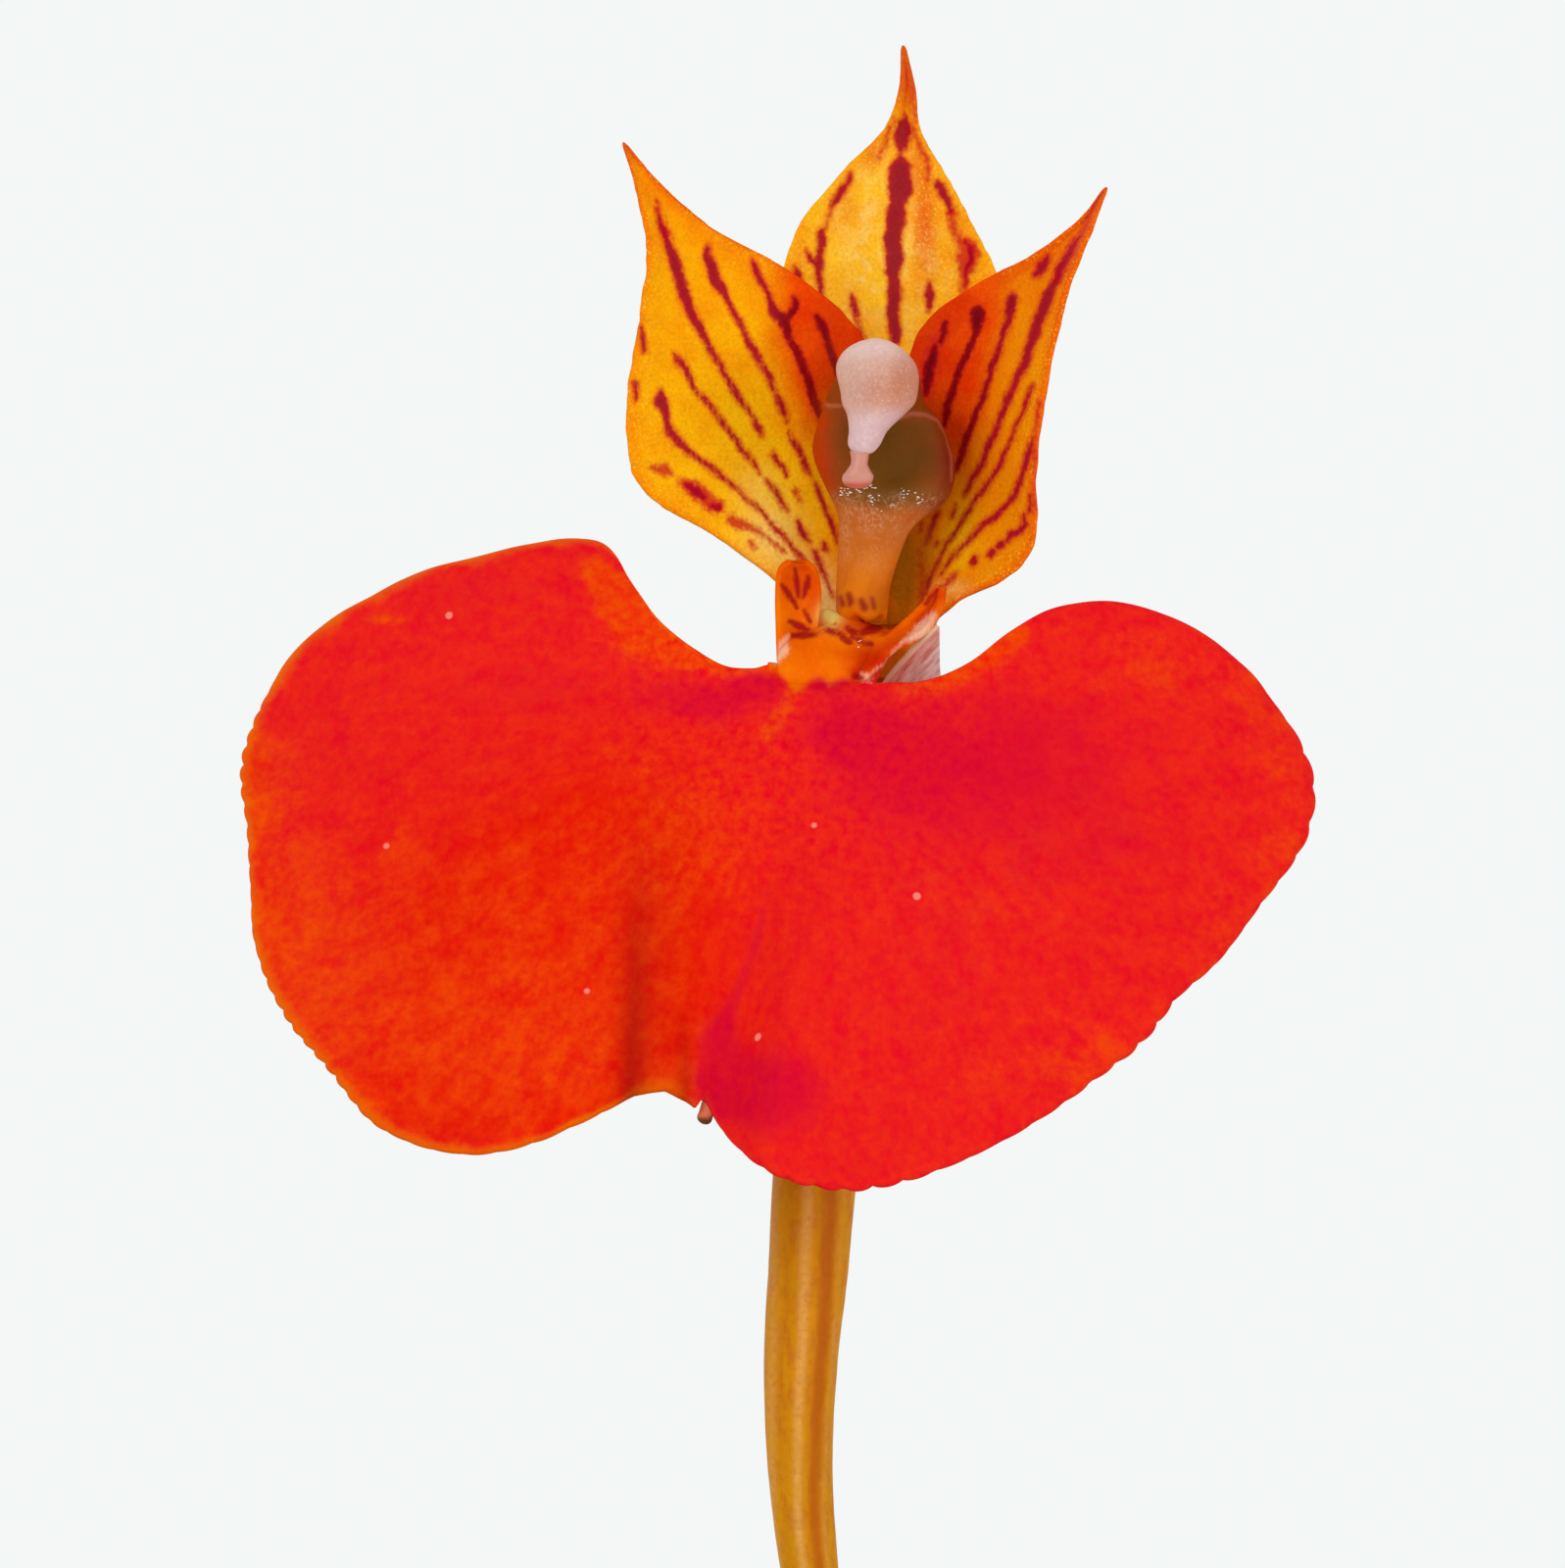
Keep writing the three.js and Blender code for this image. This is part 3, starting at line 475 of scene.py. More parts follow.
def lip_finish():
    """Velvety scarlet of fine cells, drawn out along the veins that fan from the claw: orange at the
    margins and in soft patches, rose beside the crease, with crimson marks on the orange claw and ears."""
    m = Finish("lip")
    grain = m.noise(7.0, 4.0)
    mottle = m.noise(0.8, 4.0)
    outer = m.value("far").step(1.5, 5.0) * 0.5
    drawn = m.noise(1.2, 5.0, m.point(m.value("bearing"), m.value("far")))
    flecks = (drawn * outer + m.noise(3.2, 5.0) * (1.0 - outer)).step(0.25, 0.75)
    uneven = (drawn - 0.5) * outer * 0.9 + (mottle - 0.5) * 1.1
    bluish = m.mix(flecks, rgb(226, 0, 32), rgb(236, 44, 18))
    scarlet = m.mix(m.value("pure"), bluish, m.mix(flecks, rgb(222, 4, 2), rgb(232, 44, 0)))
    tangerine = m.mix(flecks, rgb(229, 20, 8), rgb(239, 80, 0))
    warm = m.mix((m.value("orange") + uneven).step(0.1, 1.1), scarlet, tangerine)
    edged = m.mix((m.value("margin") + uneven * 0.8).step(0.35, 1.1) * 0.75, warm, rgb(236, 110, 0))
    crimson = m.mix(flecks, rgb(206, 0, 50), rgb(222, 14, 36))
    rosy = m.mix((m.value("rose") + uneven * 0.7).step(0.15, 1.0) * 0.9, edged, crimson)
    # painted shade: dark red in the lip's lower folds
    folded = m.mix(m.value("fold") * 0.6, rosy, rgb(156, 8, 4))
    flesh = m.mix(mottle.step(0.35, 0.7), rgb(240, 116, 0), rgb(234, 96, 0))
    clawed = m.mix((m.value("claw") + uneven * 0.6).step(0.15, 0.85), folded, flesh)
    # red-orange of the ears, and painted shadow under the column's foot
    reddened_and_shadowed = m.mix((m.value("red") + uneven * 0.3).step(0.0, 1.0), clawed, rgb(206, 40, 0))
    creamy = m.mix(m.value("cream"), reddened_and_shadowed, rgb(244, 226, 120))
    down = m.value("hair") + (m.noise(1.0, 4.0, m.stretched(9, 9, 2)) - 0.5) * 1.0
    haired = m.mix(down.step(0.25, 1.15) * 0.85, creamy, rgb(240, 190, 156))
    stripe = m.value("stripe") + (m.noise(7.0) - 0.5) * 0.14
    marked = m.mix(stripe.step(-0.09, 0.06) * 0.9, haired, rgb(158, 6, 16))
    specked = m.mix((0.05 - m.cells(0.3)).step(0.0, 0.02) * 0.7, marked, rgb(244, 150, 130))
    fleshy = m.mix(m.value("withered").step(0.0, 0.3), specked, rgb(214, 116, 82))
    withered = m.mix(m.value("withered").step(0.55, 1.0), fleshy, rgb(112, 56, 30))
    color = m.scaled(withered, 0.88 + grain * 0.24)
    relief = m.cells(6.0) * 0.5 + grain * 0.5 + mottle * 0.4
    return m.surface(Base_Color=color, Roughness=0.6, Normal=m.bump(relief, 0.03, 0.5),
                     Specular_Ior_Level=0.02, Subsurface_Weight=0.2, Subsurface_Scale=0.25 * MM,
                     **PETAL_FLESH)


def spur_finish():
    """Golden-brown skin with bands of painted highlight and painted shade down the tube, and faint brown
    specks. Where the joined sepals turn their margin forwards their pale back shows, drawn with mauve
    veins."""
    m = Finish("spur")
    grain = m.noise(4.0, 4.0)
    blotches = m.noise(1.0, 5.0, m.stretched(3.2, 3.2, 0.9))
    # painted highlight and painted shade bands, broken up by the blotches
    light = m.value("light") + (blotches - 0.5) * 1.3
    dark = m.value("dark") - (blotches - 0.5) * 1.5
    base = m.mix(blotches.step(0.35, 0.65), rgb(208, 142, 6), rgb(196, 120, 4))
    paler = m.mix(light.step(0.1, 1.3), base, rgb(220, 160, 76))
    banded_light_and_shade = m.mix(dark.step(0.0, 1.2), paler, rgb(182, 94, 0))
    # ochre beside the ear, painted brighter as painted light
    ochre = m.mix(m.value("ochre"), banded_light_and_shade, rgb(255, 158, 8))
    specks = (m.noise(5.0, 4.0) * 0.6 + blotches * 0.4).step(0.48, 0.7)
    specked = m.mix(specks * 0.45, ochre, rgb(188, 92, 10))
    across, onward = m.value("across"), m.value("onward")
    threads = m.noise(1.0, 4.0, m.point(across * 5.0, onward * 0.9))
    flushed = m.mix(across.step(0.1, 1.0), rgb(220, 112, 92), rgb(222, 176, 168))
    ground = m.mix(across.step(0.0, 0.7), rgb(234, 166, 144), rgb(248, 228, 222))
    veined = m.mix(threads.step(0.4, 0.6) * 0.9, ground, flushed)
    back = m.mix((1.0 - across * 9).step(0.0, 0.6) * 0.9, veined, rgb(255, 226, 190))
    netted = m.mix(m.value("net"), specked, back)
    color = m.scaled(netted, 0.84 + grain * 0.32)
    relief = grain * 0.5 + threads * 0.5
    return m.surface(Base_Color=color, Roughness=0.45, Normal=m.bump(relief, 0.04, 0.5),
                     Specular_Ior_Level=0.06, Subsurface_Weight=0.15, Subsurface_Scale=0.3 * MM,
                     **PETAL_FLESH)


def column_finish():
    """Amber, jelly-like flesh, olive and dark in the stigma's hollow, with a painted red glow at its
    flanks, a thin pink rim, a painted glow along its lower edge and a frost of pale points on the tongue
    below."""
    m = Finish("column")
    frost = m.noise(1.0, 5.0, m.stretched(11, 11, 9))
    amber = m.mix(m.value("low"), rgb(194, 106, 38), rgb(222, 122, 0))
    mottled = m.mix(m.noise(1.0).step(0.4, 0.65) * 0.4, amber, rgb(186, 84, 6))
    hooded = m.mix(m.value("hood"), mottled, rgb(142, 62, 8))
    hollow = m.mix(m.noise(0.8).step(0.4, 0.7), rgb(112, 66, 0), rgb(128, 64, 2))
    pit = m.mix(m.value("pit"), hooded, hollow)
    # painted glow of light through the flanks
    left_lit = m.mix(m.value("left_flank"), pit, rgb(186, 52, 2))
    right_lit = m.mix(m.value("right_flank"), left_lit, rgb(128, 34, 18))
    rim = m.mix(m.value("rim") * 0.55, right_lit, rgb(196, 104, 78))
    wetted = m.mix(m.value("wet") * 0.8, rim, rgb(118, 82, 26))
    frosty = frost.step(0.4, 0.75) * m.noise(1.4, 3.0).step(0.35, 0.6)
    frosted = m.mix(m.value("frost") * frosty * 0.5, wetted, rgb(226, 176, 134))
    # painted glow: the lowest edge of the column's foot lit bright orange
    glowing = m.mix(m.value("lit_edge"), frosted, rgb(255, 146, 10))
    marked = m.mix(m.value("stripe").step(-0.14, 0.1) * 0.85, glowing, rgb(150, 0, 10))
    return m.surface(Base_Color=marked, Roughness=0.36 + frost * 0.3, Normal=m.bump(frost, 0.04, 0.5),
                     Specular_Ior_Level=0.1, Subsurface_Radius=(1.0, 0.4, 0.12), Subsurface_Weight=0.4,
                     Subsurface_Scale=0.5 * MM)


def anther_finish():
    """Waxy, pale pink cap with fine painted glints, peach-brown down its right side and cooler at the beak.
    """
    m = Finish("anther")
    grain = m.noise(7.0, 5.0)
    crowned = m.mix(m.value("crown"), rgb(216, 174, 158), rgb(230, 196, 188))
    base = m.mix(m.value("warm"), crowned, rgb(192, 112, 72))
    beak = m.mix(m.value("beak"), base, rgb(218, 186, 186))
    # painted glints: fine pale specks for light on the waxy cap
    painted_glints = m.mix(m.noise(12.0, 2.0).step(0.5, 0.75) * 0.25, beak, rgb(248, 226, 226))
    color = m.scaled(painted_glints, 0.78 + grain * 0.42)
    return m.surface(Base_Color=color, Roughness=0.48, Normal=m.bump(grain, 0.05, 0.6),
                     Specular_Ior_Level=0.2, **WAXY_FLESH)


def pollinarium_finish():
    """Pink, slightly wet, with a rosy rim."""
    m = Finish("pollinarium")
    color = m.mix(m.value("rim"), rgb(204, 140, 122), rgb(202, 88, 70))
    return m.surface(Base_Color=color, Roughness=0.35, Normal=m.bump(m.noise(5.0), 0.02, 0.4),
                     Specular_Ior_Level=0.3, **WAXY_FLESH)


LEAF_VEINS = 23


def leaf_finish():
    """Leathery green with close veins along the blade, a sunken paler midrib and a paler underside."""
    m = Finish("leaf")
    patches = m.noise(0.12, 4.0)
    across = m.value("across")
    vein = (across * (TAU * LEAF_VEINS)).sine() * 0.5 + 0.5
    top = m.mix(patches.step(0.3, 0.7), rgb(50, 84, 26), rgb(78, 116, 38))
    veined = m.mix(vein.step(0.6, 1.0) * 0.25, top, rgb(104, 140, 60))
    spots = m.mix(m.noise(0.9).step(0.62, 0.72) * 0.3, veined, rgb(96, 110, 44))
    keeled = m.mix(m.value("midrib") * 0.55, spots, rgb(122, 150, 70))
    purple = m.mix((m.value("rim") + (patches - 0.5)).step(0.5, 1.1) * 0.6, keeled, rgb(104, 60, 44))
    under = m.mix(m.value("under"), purple, m.mix(vein * 0.4, rgb(116, 138, 78), rgb(98, 116, 66)))
    relief = vein * 0.7 + m.noise(2.5) * 0.3
    rough = 0.36 + m.noise(1.5) * 0.16
    return m.surface(Base_Color=under, Roughness=rough, Normal=m.bump(relief, 0.08, 0.5),
                     Specular_Ior_Level=0.4, Subsurface_Weight=0.08, Subsurface_Scale=0.6 * MM,
                     Subsurface_Radius=(0.5, 1.0, 0.2))


def bulb_finish():
    """Yellow-green flesh with darker furrows and a purple-brown flush where the sun reaches."""
    m = Finish("bulb")
    furrow = m.value("furrow")
    patches = m.noise(0.25, 4.0)
    base = m.mix(patches.step(0.35, 0.65), rgb(112, 130, 50), rgb(140, 150, 70))
    lined = m.mix(furrow * 0.5, base, rgb(82, 96, 36))
    flushed = m.mix((m.value("flush") + (patches - 0.5)).step(0.4, 1.2) * 0.6, lined, rgb(120, 74, 48))
    specks = m.mix(m.noise(2.2).step(0.62, 0.7) * 0.4, flushed, rgb(176, 176, 116))
    return m.surface(Base_Color=specks, Roughness=0.42 + m.noise(1.2) * 0.15,
                     Normal=m.bump(m.noise(1.6, 4.0), 0.12, 0.5), Specular_Ior_Level=0.35)


def husk_finish():
    """Dry, papery sheath: straw to brown, with long fibres and frayed darker edges."""
    m = Finish("husk")
    fibres = m.noise(1.0, 4.0, m.stretched(3, 3, 0.36))
    patches = m.noise(0.3, 3.0)
    straw = m.mix(patches.step(0.3, 0.7), rgb(190, 160, 112), rgb(150, 118, 78))
    lined = m.mix(fibres.step(0.42, 0.7) * 0.6, straw, rgb(112, 84, 54))
    edged = m.mix(m.value("rim") * 0.6, lined, rgb(96, 70, 46))
    return m.surface(Base_Color=edged, Roughness=0.78, Normal=m.bump(fibres, 0.12, 0.7),
                     Specular_Ior_Level=0.2)


def stem_finish():
    """Wiry olive stem that turns purple-brown upwards, finely ridged, with small pale specks."""
    m = Finish("stem")
    ridges = m.noise(1.0, 3.0, m.stretched(4, 4, 0.4))
    high = (m.axis("Z") + m.noise(0.3) * 30).step(60.0, 190.0)
    base = m.mix(high, rgb(98, 104, 46), rgb(124, 76, 40))
    lined = m.mix(ridges.step(0.4, 0.7) * 0.45, base, rgb(74, 60, 30))
    specks = m.mix(m.noise(3.0).step(0.62, 0.7) * 0.5, lined, rgb(176, 150, 96))
    return m.surface(Base_Color=specks, Roughness=0.48, Normal=m.bump(ridges, 0.08, 0.6),
                     Specular_Ior_Level=0.35)


def ovary_finish():
    """Olive-orange ribs, redder along their crests."""
    m = Finish("ovary")
    crest = m.value("crest")
    grain = m.noise(5.0, 3.0)
    base = m.mix(crest, rgb(150, 104, 34), rgb(190, 108, 40))
    up = m.mix(m.value("bloomward"), base, rgb(206, 112, 30))
    mottled = m.mix(grain.step(0.5, 0.8) * 0.4, up, rgb(140, 60, 36))
    return m.surface(Base_Color=mottled, Roughness=0.45, Normal=m.bump(grain, 0.05, 0.5),
                     Specular_Ior_Level=0.3)


def root_finish():
    """Silvery, felted velamen with greenish patches, and a bright green growing tip."""
    m = Finish("root")
    felt = m.noise(4.0, 4.0)
    patches = m.noise(0.25, 3.0)
    silver = m.mix(felt.step(0.35, 0.7), rgb(176, 178, 160), rgb(206, 206, 192))
    green = m.mix(patches.step(0.5, 0.7) * 0.5, silver, rgb(132, 148, 96))
    soiled = m.mix(m.noise(0.8).step(0.58, 0.72) * 0.5, green, rgb(128, 104, 76))
    tip = m.mix(m.value("tip"), soiled, rgb(132, 164, 60))
    ringed = m.mix(m.value("scar") * 0.6, tip, rgb(104, 82, 52))
    return m.surface(Base_Color=ringed, Roughness=0.8, Normal=m.bump(felt, 0.12, 0.6),
                     Specular_Ior_Level=0.2)


def bark_finish():
    """Fir-bark chips: each its own brown, layered in thin plates, lighter where freshly broken."""
    m = Finish("bark")
    tone = m.value("tone")
    plates = m.noise(1.0, 5.0, m.stretched(1.1, 1.1, 3.8))
    lumps = m.noise(0.5, 4.0)
    base = m.mix(tone, rgb(62, 38, 24), rgb(122, 76, 46))
    layered = m.mix(plates.step(0.35, 0.7) * 0.6, base, rgb(44, 28, 20))
    broken = m.mix((lumps + tone * 0.25).step(0.6, 0.78) * 0.6, layered, rgb(158, 112, 72))
    dusty = m.mix(m.noise(3.0).step(0.6, 0.75) * 0.4, broken, rgb(140, 122, 100))
    relief = plates * 0.7 + lumps * 0.6
    return m.surface(Base_Color=dusty, Roughness=0.92, Normal=m.bump(relief, 0.5, 0.8),
                     Specular_Ior_Level=0.15)


def clay_finish():
    """Unglazed red clay: fine grit, faint turning lines, a damp darker foot and a pale bloom of lime."""
    m = Finish("clay")
    grit = m.noise(3.0, 5.0)
    clouds = m.noise(0.06, 4.0)
    height = m.axis("Z")
    lines = (height * 3.1 + m.noise(0.05) * 4).sine() * 0.5 + 0.5
    base = m.mix(clouds.step(0.35, 0.65), rgb(186, 104, 66), rgb(204, 124, 82))
    grainy = m.mix(grit.step(0.45, 0.75) * 0.4, base, rgb(150, 78, 50))
    lime = (m.noise(0.09, 5.0) + (height - 30).step(0.0, 32.0) * 0.1).step(0.52, 0.74)
    limed = m.mix(lime * 0.55, grainy, rgb(226, 198, 176))
    wet_foot = 1.0 - (height + clouds * 16).step(6.0, 22.0)
    damp = m.mix(wet_foot * 0.45, limed, rgb(138, 74, 48))
    relief = grit * 0.6 + lines * 0.35
    return m.surface(Base_Color=damp, Roughness=0.86, Normal=m.bump(relief, 0.16, 0.6),
                     Specular_Ior_Level=0.2)


def drop_highlight_finish():
    """Sticky drops, clear in life, painted near white as highlights where they catch the light."""
    m = Finish("wet")
    # near white: painted highlights
    clear = m.mix(m.noise(8.0).step(0.4, 0.7), rgb(236, 220, 206), rgb(255, 250, 244))
    return m.surface(Base_Color=clear, Roughness=0.12, Specular_Ior_Level=0.8)


# Sepals and petals, with x to the right, y back and z up from the place where the flower's parts meet

TEPAL_THICKNESS = 0.34
LEFT_PETAL_OUTER = [
    (-1.2, 1.7, 0.3), (-2.47, 1.5, 1.8), (-4.68, 1.0, 3.45), (-6.5, 0.4, 4.45), (-7.42, 0.0, 5.7),
    (-7.53, 0.0, 8.2), (-7.13, 0.4, 10.6), (-6.88, 0.8, 12.9), (-7.17, 1.0, 14.8), (-7.71, 0.8, 16.6),
]
LEFT_PETAL_INNER = [
    (0.1, 2.4, 0.2), (0.0, 2.8, 3.4), (0.3, 3.0, 5.6), (0.7, 3.1, 7.8), (0.65, 3.1, 9.6),
    (-0.45, 2.9, 11.15), (-2.45, 2.6, 12.6), (-4.6, 2.1, 13.75), (-6.3, 1.5, 15.1), (-7.66, 0.8, 16.6),
]
RIGHT_PETAL_INNER = [
    (1.2, 2.4, 0.3), (1.3, 2.8, 3.0), (1.4, 3.0, 5.2), (1.7, 3.1, 7.2), (1.8, 3.1, 9.0), (2.5, 2.9, 10.7),
    (4.3, 2.4, 12.0), (6.1, 1.6, 12.9), (7.6, 0.8, 13.95), (8.47, 0.1, 15.05),
]
RIGHT_PETAL_OUTER = [
    (2.45, 1.8, 0.3), (3.7, 0.8, 1.3), (5.1, -0.4, 1.95), (6.03, -1.2, 3.1), (6.08, -1.8, 5.5),
    (6.36, -1.9, 7.8), (6.76, -1.5, 9.9), (7.28, -0.9, 11.9), (8.0, -0.3, 13.7), (8.53, 0.1, 15.05),
]
DORSAL_LEFT = [
    (-0.9, 3.3, 0.3), (-1.1, 3.9, 4.6), (-1.95, 4.1, 7.6), (-2.4, 4.1, 10.2), (-2.35, 4.0, 12.3),
    (-1.72, 4.0, 14.1), (-0.38, 4.1, 15.75), (1.15, 4.3, 17.3), (1.67, 4.5, 18.7), (1.72, 4.7, 20.15),
]
DORSAL_RIGHT = [
    (2.6, 3.3, 0.3), (3.2, 3.9, 4.6), (4.35, 4.1, 7.6), (4.9, 4.1, 10.2), (4.9, 4.0, 12.3),
    (4.05, 4.0, 14.1), (3.14, 4.1, 15.8), (2.28, 4.3, 17.3), (2.1, 4.5, 18.7), (1.79, 4.7, 20.15),
]

# Stripes and fainter smudges, each through points in the photograph's pixels with its width there, and soft
# ovals, each a middle in the photograph's pixels, half width, half height and strength
LEFT_PETAL_STRIPES = [
    [(669, 213, 3), (672, 223, 5), (678, 238, 8), (684, 256, 12), (690, 271, 14), (694, 286, 12),
     (698, 301, 13), (703, 313, 12), (710, 328, 10), (718, 344, 9), (728, 361, 8), (738, 379, 8),
     (747, 394, 8), (756, 409, 7), (767, 424, 6), (774, 436, 9), (778, 444, 4)],
    [(723, 250, 4), (721, 260, 9), (725, 271, 13), (730, 283, 13), (735, 294, 11), (738, 300, 8),
     (748, 316, 7), (754, 328, 7), (760, 341, 7), (768, 354, 8), (774, 366, 8), (781, 379, 7),
     (786, 386, 8), (788, 396, 6), (793, 404, 7), (796, 411, 9), (800, 422, 8), (803, 431, 4)],
    [(806, 441, 4), (811, 452, 6), (817, 464, 6), (823, 477, 8), (826, 484, 4)],
    [(830, 493, 5), (836, 504, 8), (840, 513, 6), (844, 524, 5), (849, 535, 7), (854, 547, 5),
     (856, 555, 3)],
    [(767, 267, 5), (772, 276, 10), (776, 286, 8), (781, 296, 7), (786, 306, 9), (791, 318, 12),
     (798, 326, 14), (803, 336, 12), (806, 346, 9), (812, 356, 10), (818, 371, 11), (825, 386, 11),
     (829, 401, 11), (833, 414, 10), (836, 426, 7), (837, 434, 4)],
    [(800, 327, 11), (809, 317, 10), (812, 309, 9), (810, 304, 6)],
    [(834, 322, 7), (839, 333, 12), (843, 345, 9), (847, 357, 11), (851, 367, 11), (853, 377, 9),
     (855, 386, 6)],
    [(688, 361, 5), (693, 368, 9), (700, 379, 10), (705, 388, 9), (710, 397, 5), (719, 408, 7),
     (730, 421, 7), (741, 436, 7), (753, 452, 7), (761, 464, 6), (768, 472, 5), (776, 483, 4)],
    [(783, 490, 4), (791, 502, 7), (798, 512, 6), (804, 521, 3)],
    [(675, 397, 4), (674, 410, 15), (678, 418, 11), (681, 429, 9), (684, 440, 9), (692, 451, 9),
     (702, 460, 8), (714, 469, 8), (728, 479, 7), (743, 492, 6), (756, 502, 6), (768, 514, 5),
     (781, 527, 5), (791, 539, 4), (803, 552, 4), (813, 564, 3), (820, 571, 3)],
    [(789, 463, 7), (796, 474, 7), (802, 485, 5)], [(814, 532, 5), (820, 544, 9), (825, 553, 4)],
    [(831, 562, 5), (836, 575, 6), (841, 587, 5), (845, 596, 4), (850, 610, 3)],
    [(840, 553, 4), (843, 560, 7)], [(654, 334, 4), (656, 347, 7), (658, 360, 4)],
    [(648, 392, 6), (649, 406, 7)], [(699, 494, 6), (710, 502, 12), (719, 509, 7)],
    [(725, 516, 6), (733, 517, 9)],
]
LEFT_PETAL_SMUDGES = [
    [(666, 476, 6), (678, 481, 13), (685, 484, 6)],
    [(746, 530, 10), (754, 534, 14), (763, 537, 8), (780, 546, 5), (800, 563, 4)],
    [(766, 556, 6), (770, 558, 6)], [(812, 501, 7), (816, 511, 5)],
    [(669, 205, 3), (674, 222, 6), (680, 240, 9)], [(697, 492, 10), (712, 502, 18), (730, 516, 14)],
    [(790, 535, 3), (808, 556, 3), (820, 572, 4)],
]
RIGHT_PETAL_STRIPES = [
    [(1103, 240, 3), (1096, 251, 7), (1089, 262, 9), (1082, 274, 10), (1078, 285, 9), (1073, 295, 11),
     (1067, 308, 15), (1062, 321, 13), (1057, 335, 12), (1053, 349, 11), (1048, 363, 10), (1044, 374, 9),
     (1037, 388, 8), (1032, 400, 8), (1026, 413, 8), (1021, 427, 7), (1015, 441, 7), (1009, 455, 8),
     (1004, 468, 7), (998, 480, 8), (991, 491, 7), (985, 503, 6), (984, 507, 3)],
    [(1070, 262, 6), (1064, 271, 12), (1057, 281, 8)],
    [(1033, 300, 6), (1033, 304, 13), (1032, 313, 13), (1030, 324, 10), (1025, 336, 8), (1021, 349, 7),
     (1015, 365, 8), (1010, 381, 8), (1006, 395, 8), (1000, 411, 8), (995, 425, 8), (989, 439, 9),
     (985, 450, 9), (982, 461, 9), (978, 473, 8), (976, 480, 5)],
    [(997, 319, 16), (997, 327, 15), (997, 336, 11), (994, 345, 9), (990, 354, 10), (984, 365, 10),
     (979, 377, 10), (975, 388, 10), (971, 400, 10), (968, 411, 11), (966, 422, 10), (964, 434, 7)],
    [(965, 330, 8), (963, 338, 11), (961, 348, 8)],
    [(954, 352, 7), (952, 363, 12), (949, 377, 15), (946, 390, 13), (945, 401, 7)],
    [(1054, 390, 2), (1052, 396, 5), (1050, 403, 7), (1046, 414, 6), (1041, 426, 5), (1036, 437, 5),
     (1032, 448, 5), (1026, 460, 6), (1021, 473, 7), (1014, 485, 6), (1006, 496, 6), (998, 507, 6),
     (989, 521, 6), (980, 535, 6), (971, 547, 5), (963, 562, 5), (954, 578, 5), (948, 592, 6),
     (944, 606, 4)],
    [(1052, 447, 2), (1051, 454, 6), (1049, 464, 8), (1046, 475, 7), (1041, 487, 6), (1039, 498, 7),
     (1033, 510, 8), (1023, 519, 7), (1014, 528, 8), (1002, 537, 7), (991, 549, 6), (982, 558, 5),
     (974, 567, 5), (966, 578, 5), (961, 586, 3)],
    [(1051, 507, 4), (1050, 521, 5)],
    [(1045, 526, 5), (1046, 536, 7), (1039, 544, 8), (1032, 545, 9), (1028, 551, 6)],
    [(1023, 554, 9), (1020, 557, 9)], [(1014, 563, 9), (1011, 566, 9)], [(995, 571, 9), (992, 574, 8)],
    [(958, 523, 5), (952, 537, 7), (946, 551, 7), (945, 556, 4)], [(956, 553, 5), (955, 558, 4)],
    [(975, 515, 3), (971, 527, 5)], [(940, 534, 5), (939, 541, 4)],
]
RIGHT_PETAL_SMUDGES = [
    [(976, 586, 5), (969, 592, 8), (963, 598, 4)], [(1061, 410, 4), (1056, 450, 3), (1056, 520, 4)],
    [(1098, 246, 10), (1078, 284, 12)], [(1122, 198, 3), (1108, 230, 5), (1092, 262, 3)],
    [(938, 560, 4), (941, 590, 8), (940, 620, 6)], [(954, 348, 12), (948, 378, 20), (946, 400, 12)],
]
DORSAL_STRIPES = [
    [(923, 118, 4), (922, 127, 12), (922, 137, 18), (921, 147, 15), (919, 154, 6), (918, 159, 4),
     (920, 165, 12), (919, 173, 23), (918, 183, 27), (918, 192, 26), (917, 200, 20), (917, 207, 16),
     (915, 217, 21), (914, 226, 21), (912, 235, 19), (911, 245, 21), (912, 255, 21), (913, 265, 20),
     (911, 275, 17), (912, 285, 12), (913, 293, 15), (913, 303, 15), (912, 313, 15), (912, 322, 14),
     (913, 335, 16), (915, 348, 11)],
    [(868, 177, 5), (866, 184, 7), (860, 193, 9), (852, 204, 9), (849, 209, 4)],
    [(838, 235, 7), (839, 242, 11), (838, 251, 8), (837, 260, 9), (836, 271, 10), (837, 282, 8),
     (838, 292, 7), (838, 303, 5)],
    [(823, 257, 5), (828, 264, 8), (834, 269, 8)], [(811, 273, 4), (814, 281, 10), (817, 288, 5)],
    [(958, 184, 5), (960, 190, 11), (963, 198, 11), (967, 206, 8), (970, 217, 6)],
    [(984, 246, 4), (990, 254, 8), (993, 262, 8), (989, 270, 8), (985, 280, 5), (983, 292, 4)],
    [(869, 302, 5), (872, 313, 9), (875, 323, 5)],
    [(949, 289, 5), (949, 300, 12), (948, 311, 9), (947, 318, 4)],
]
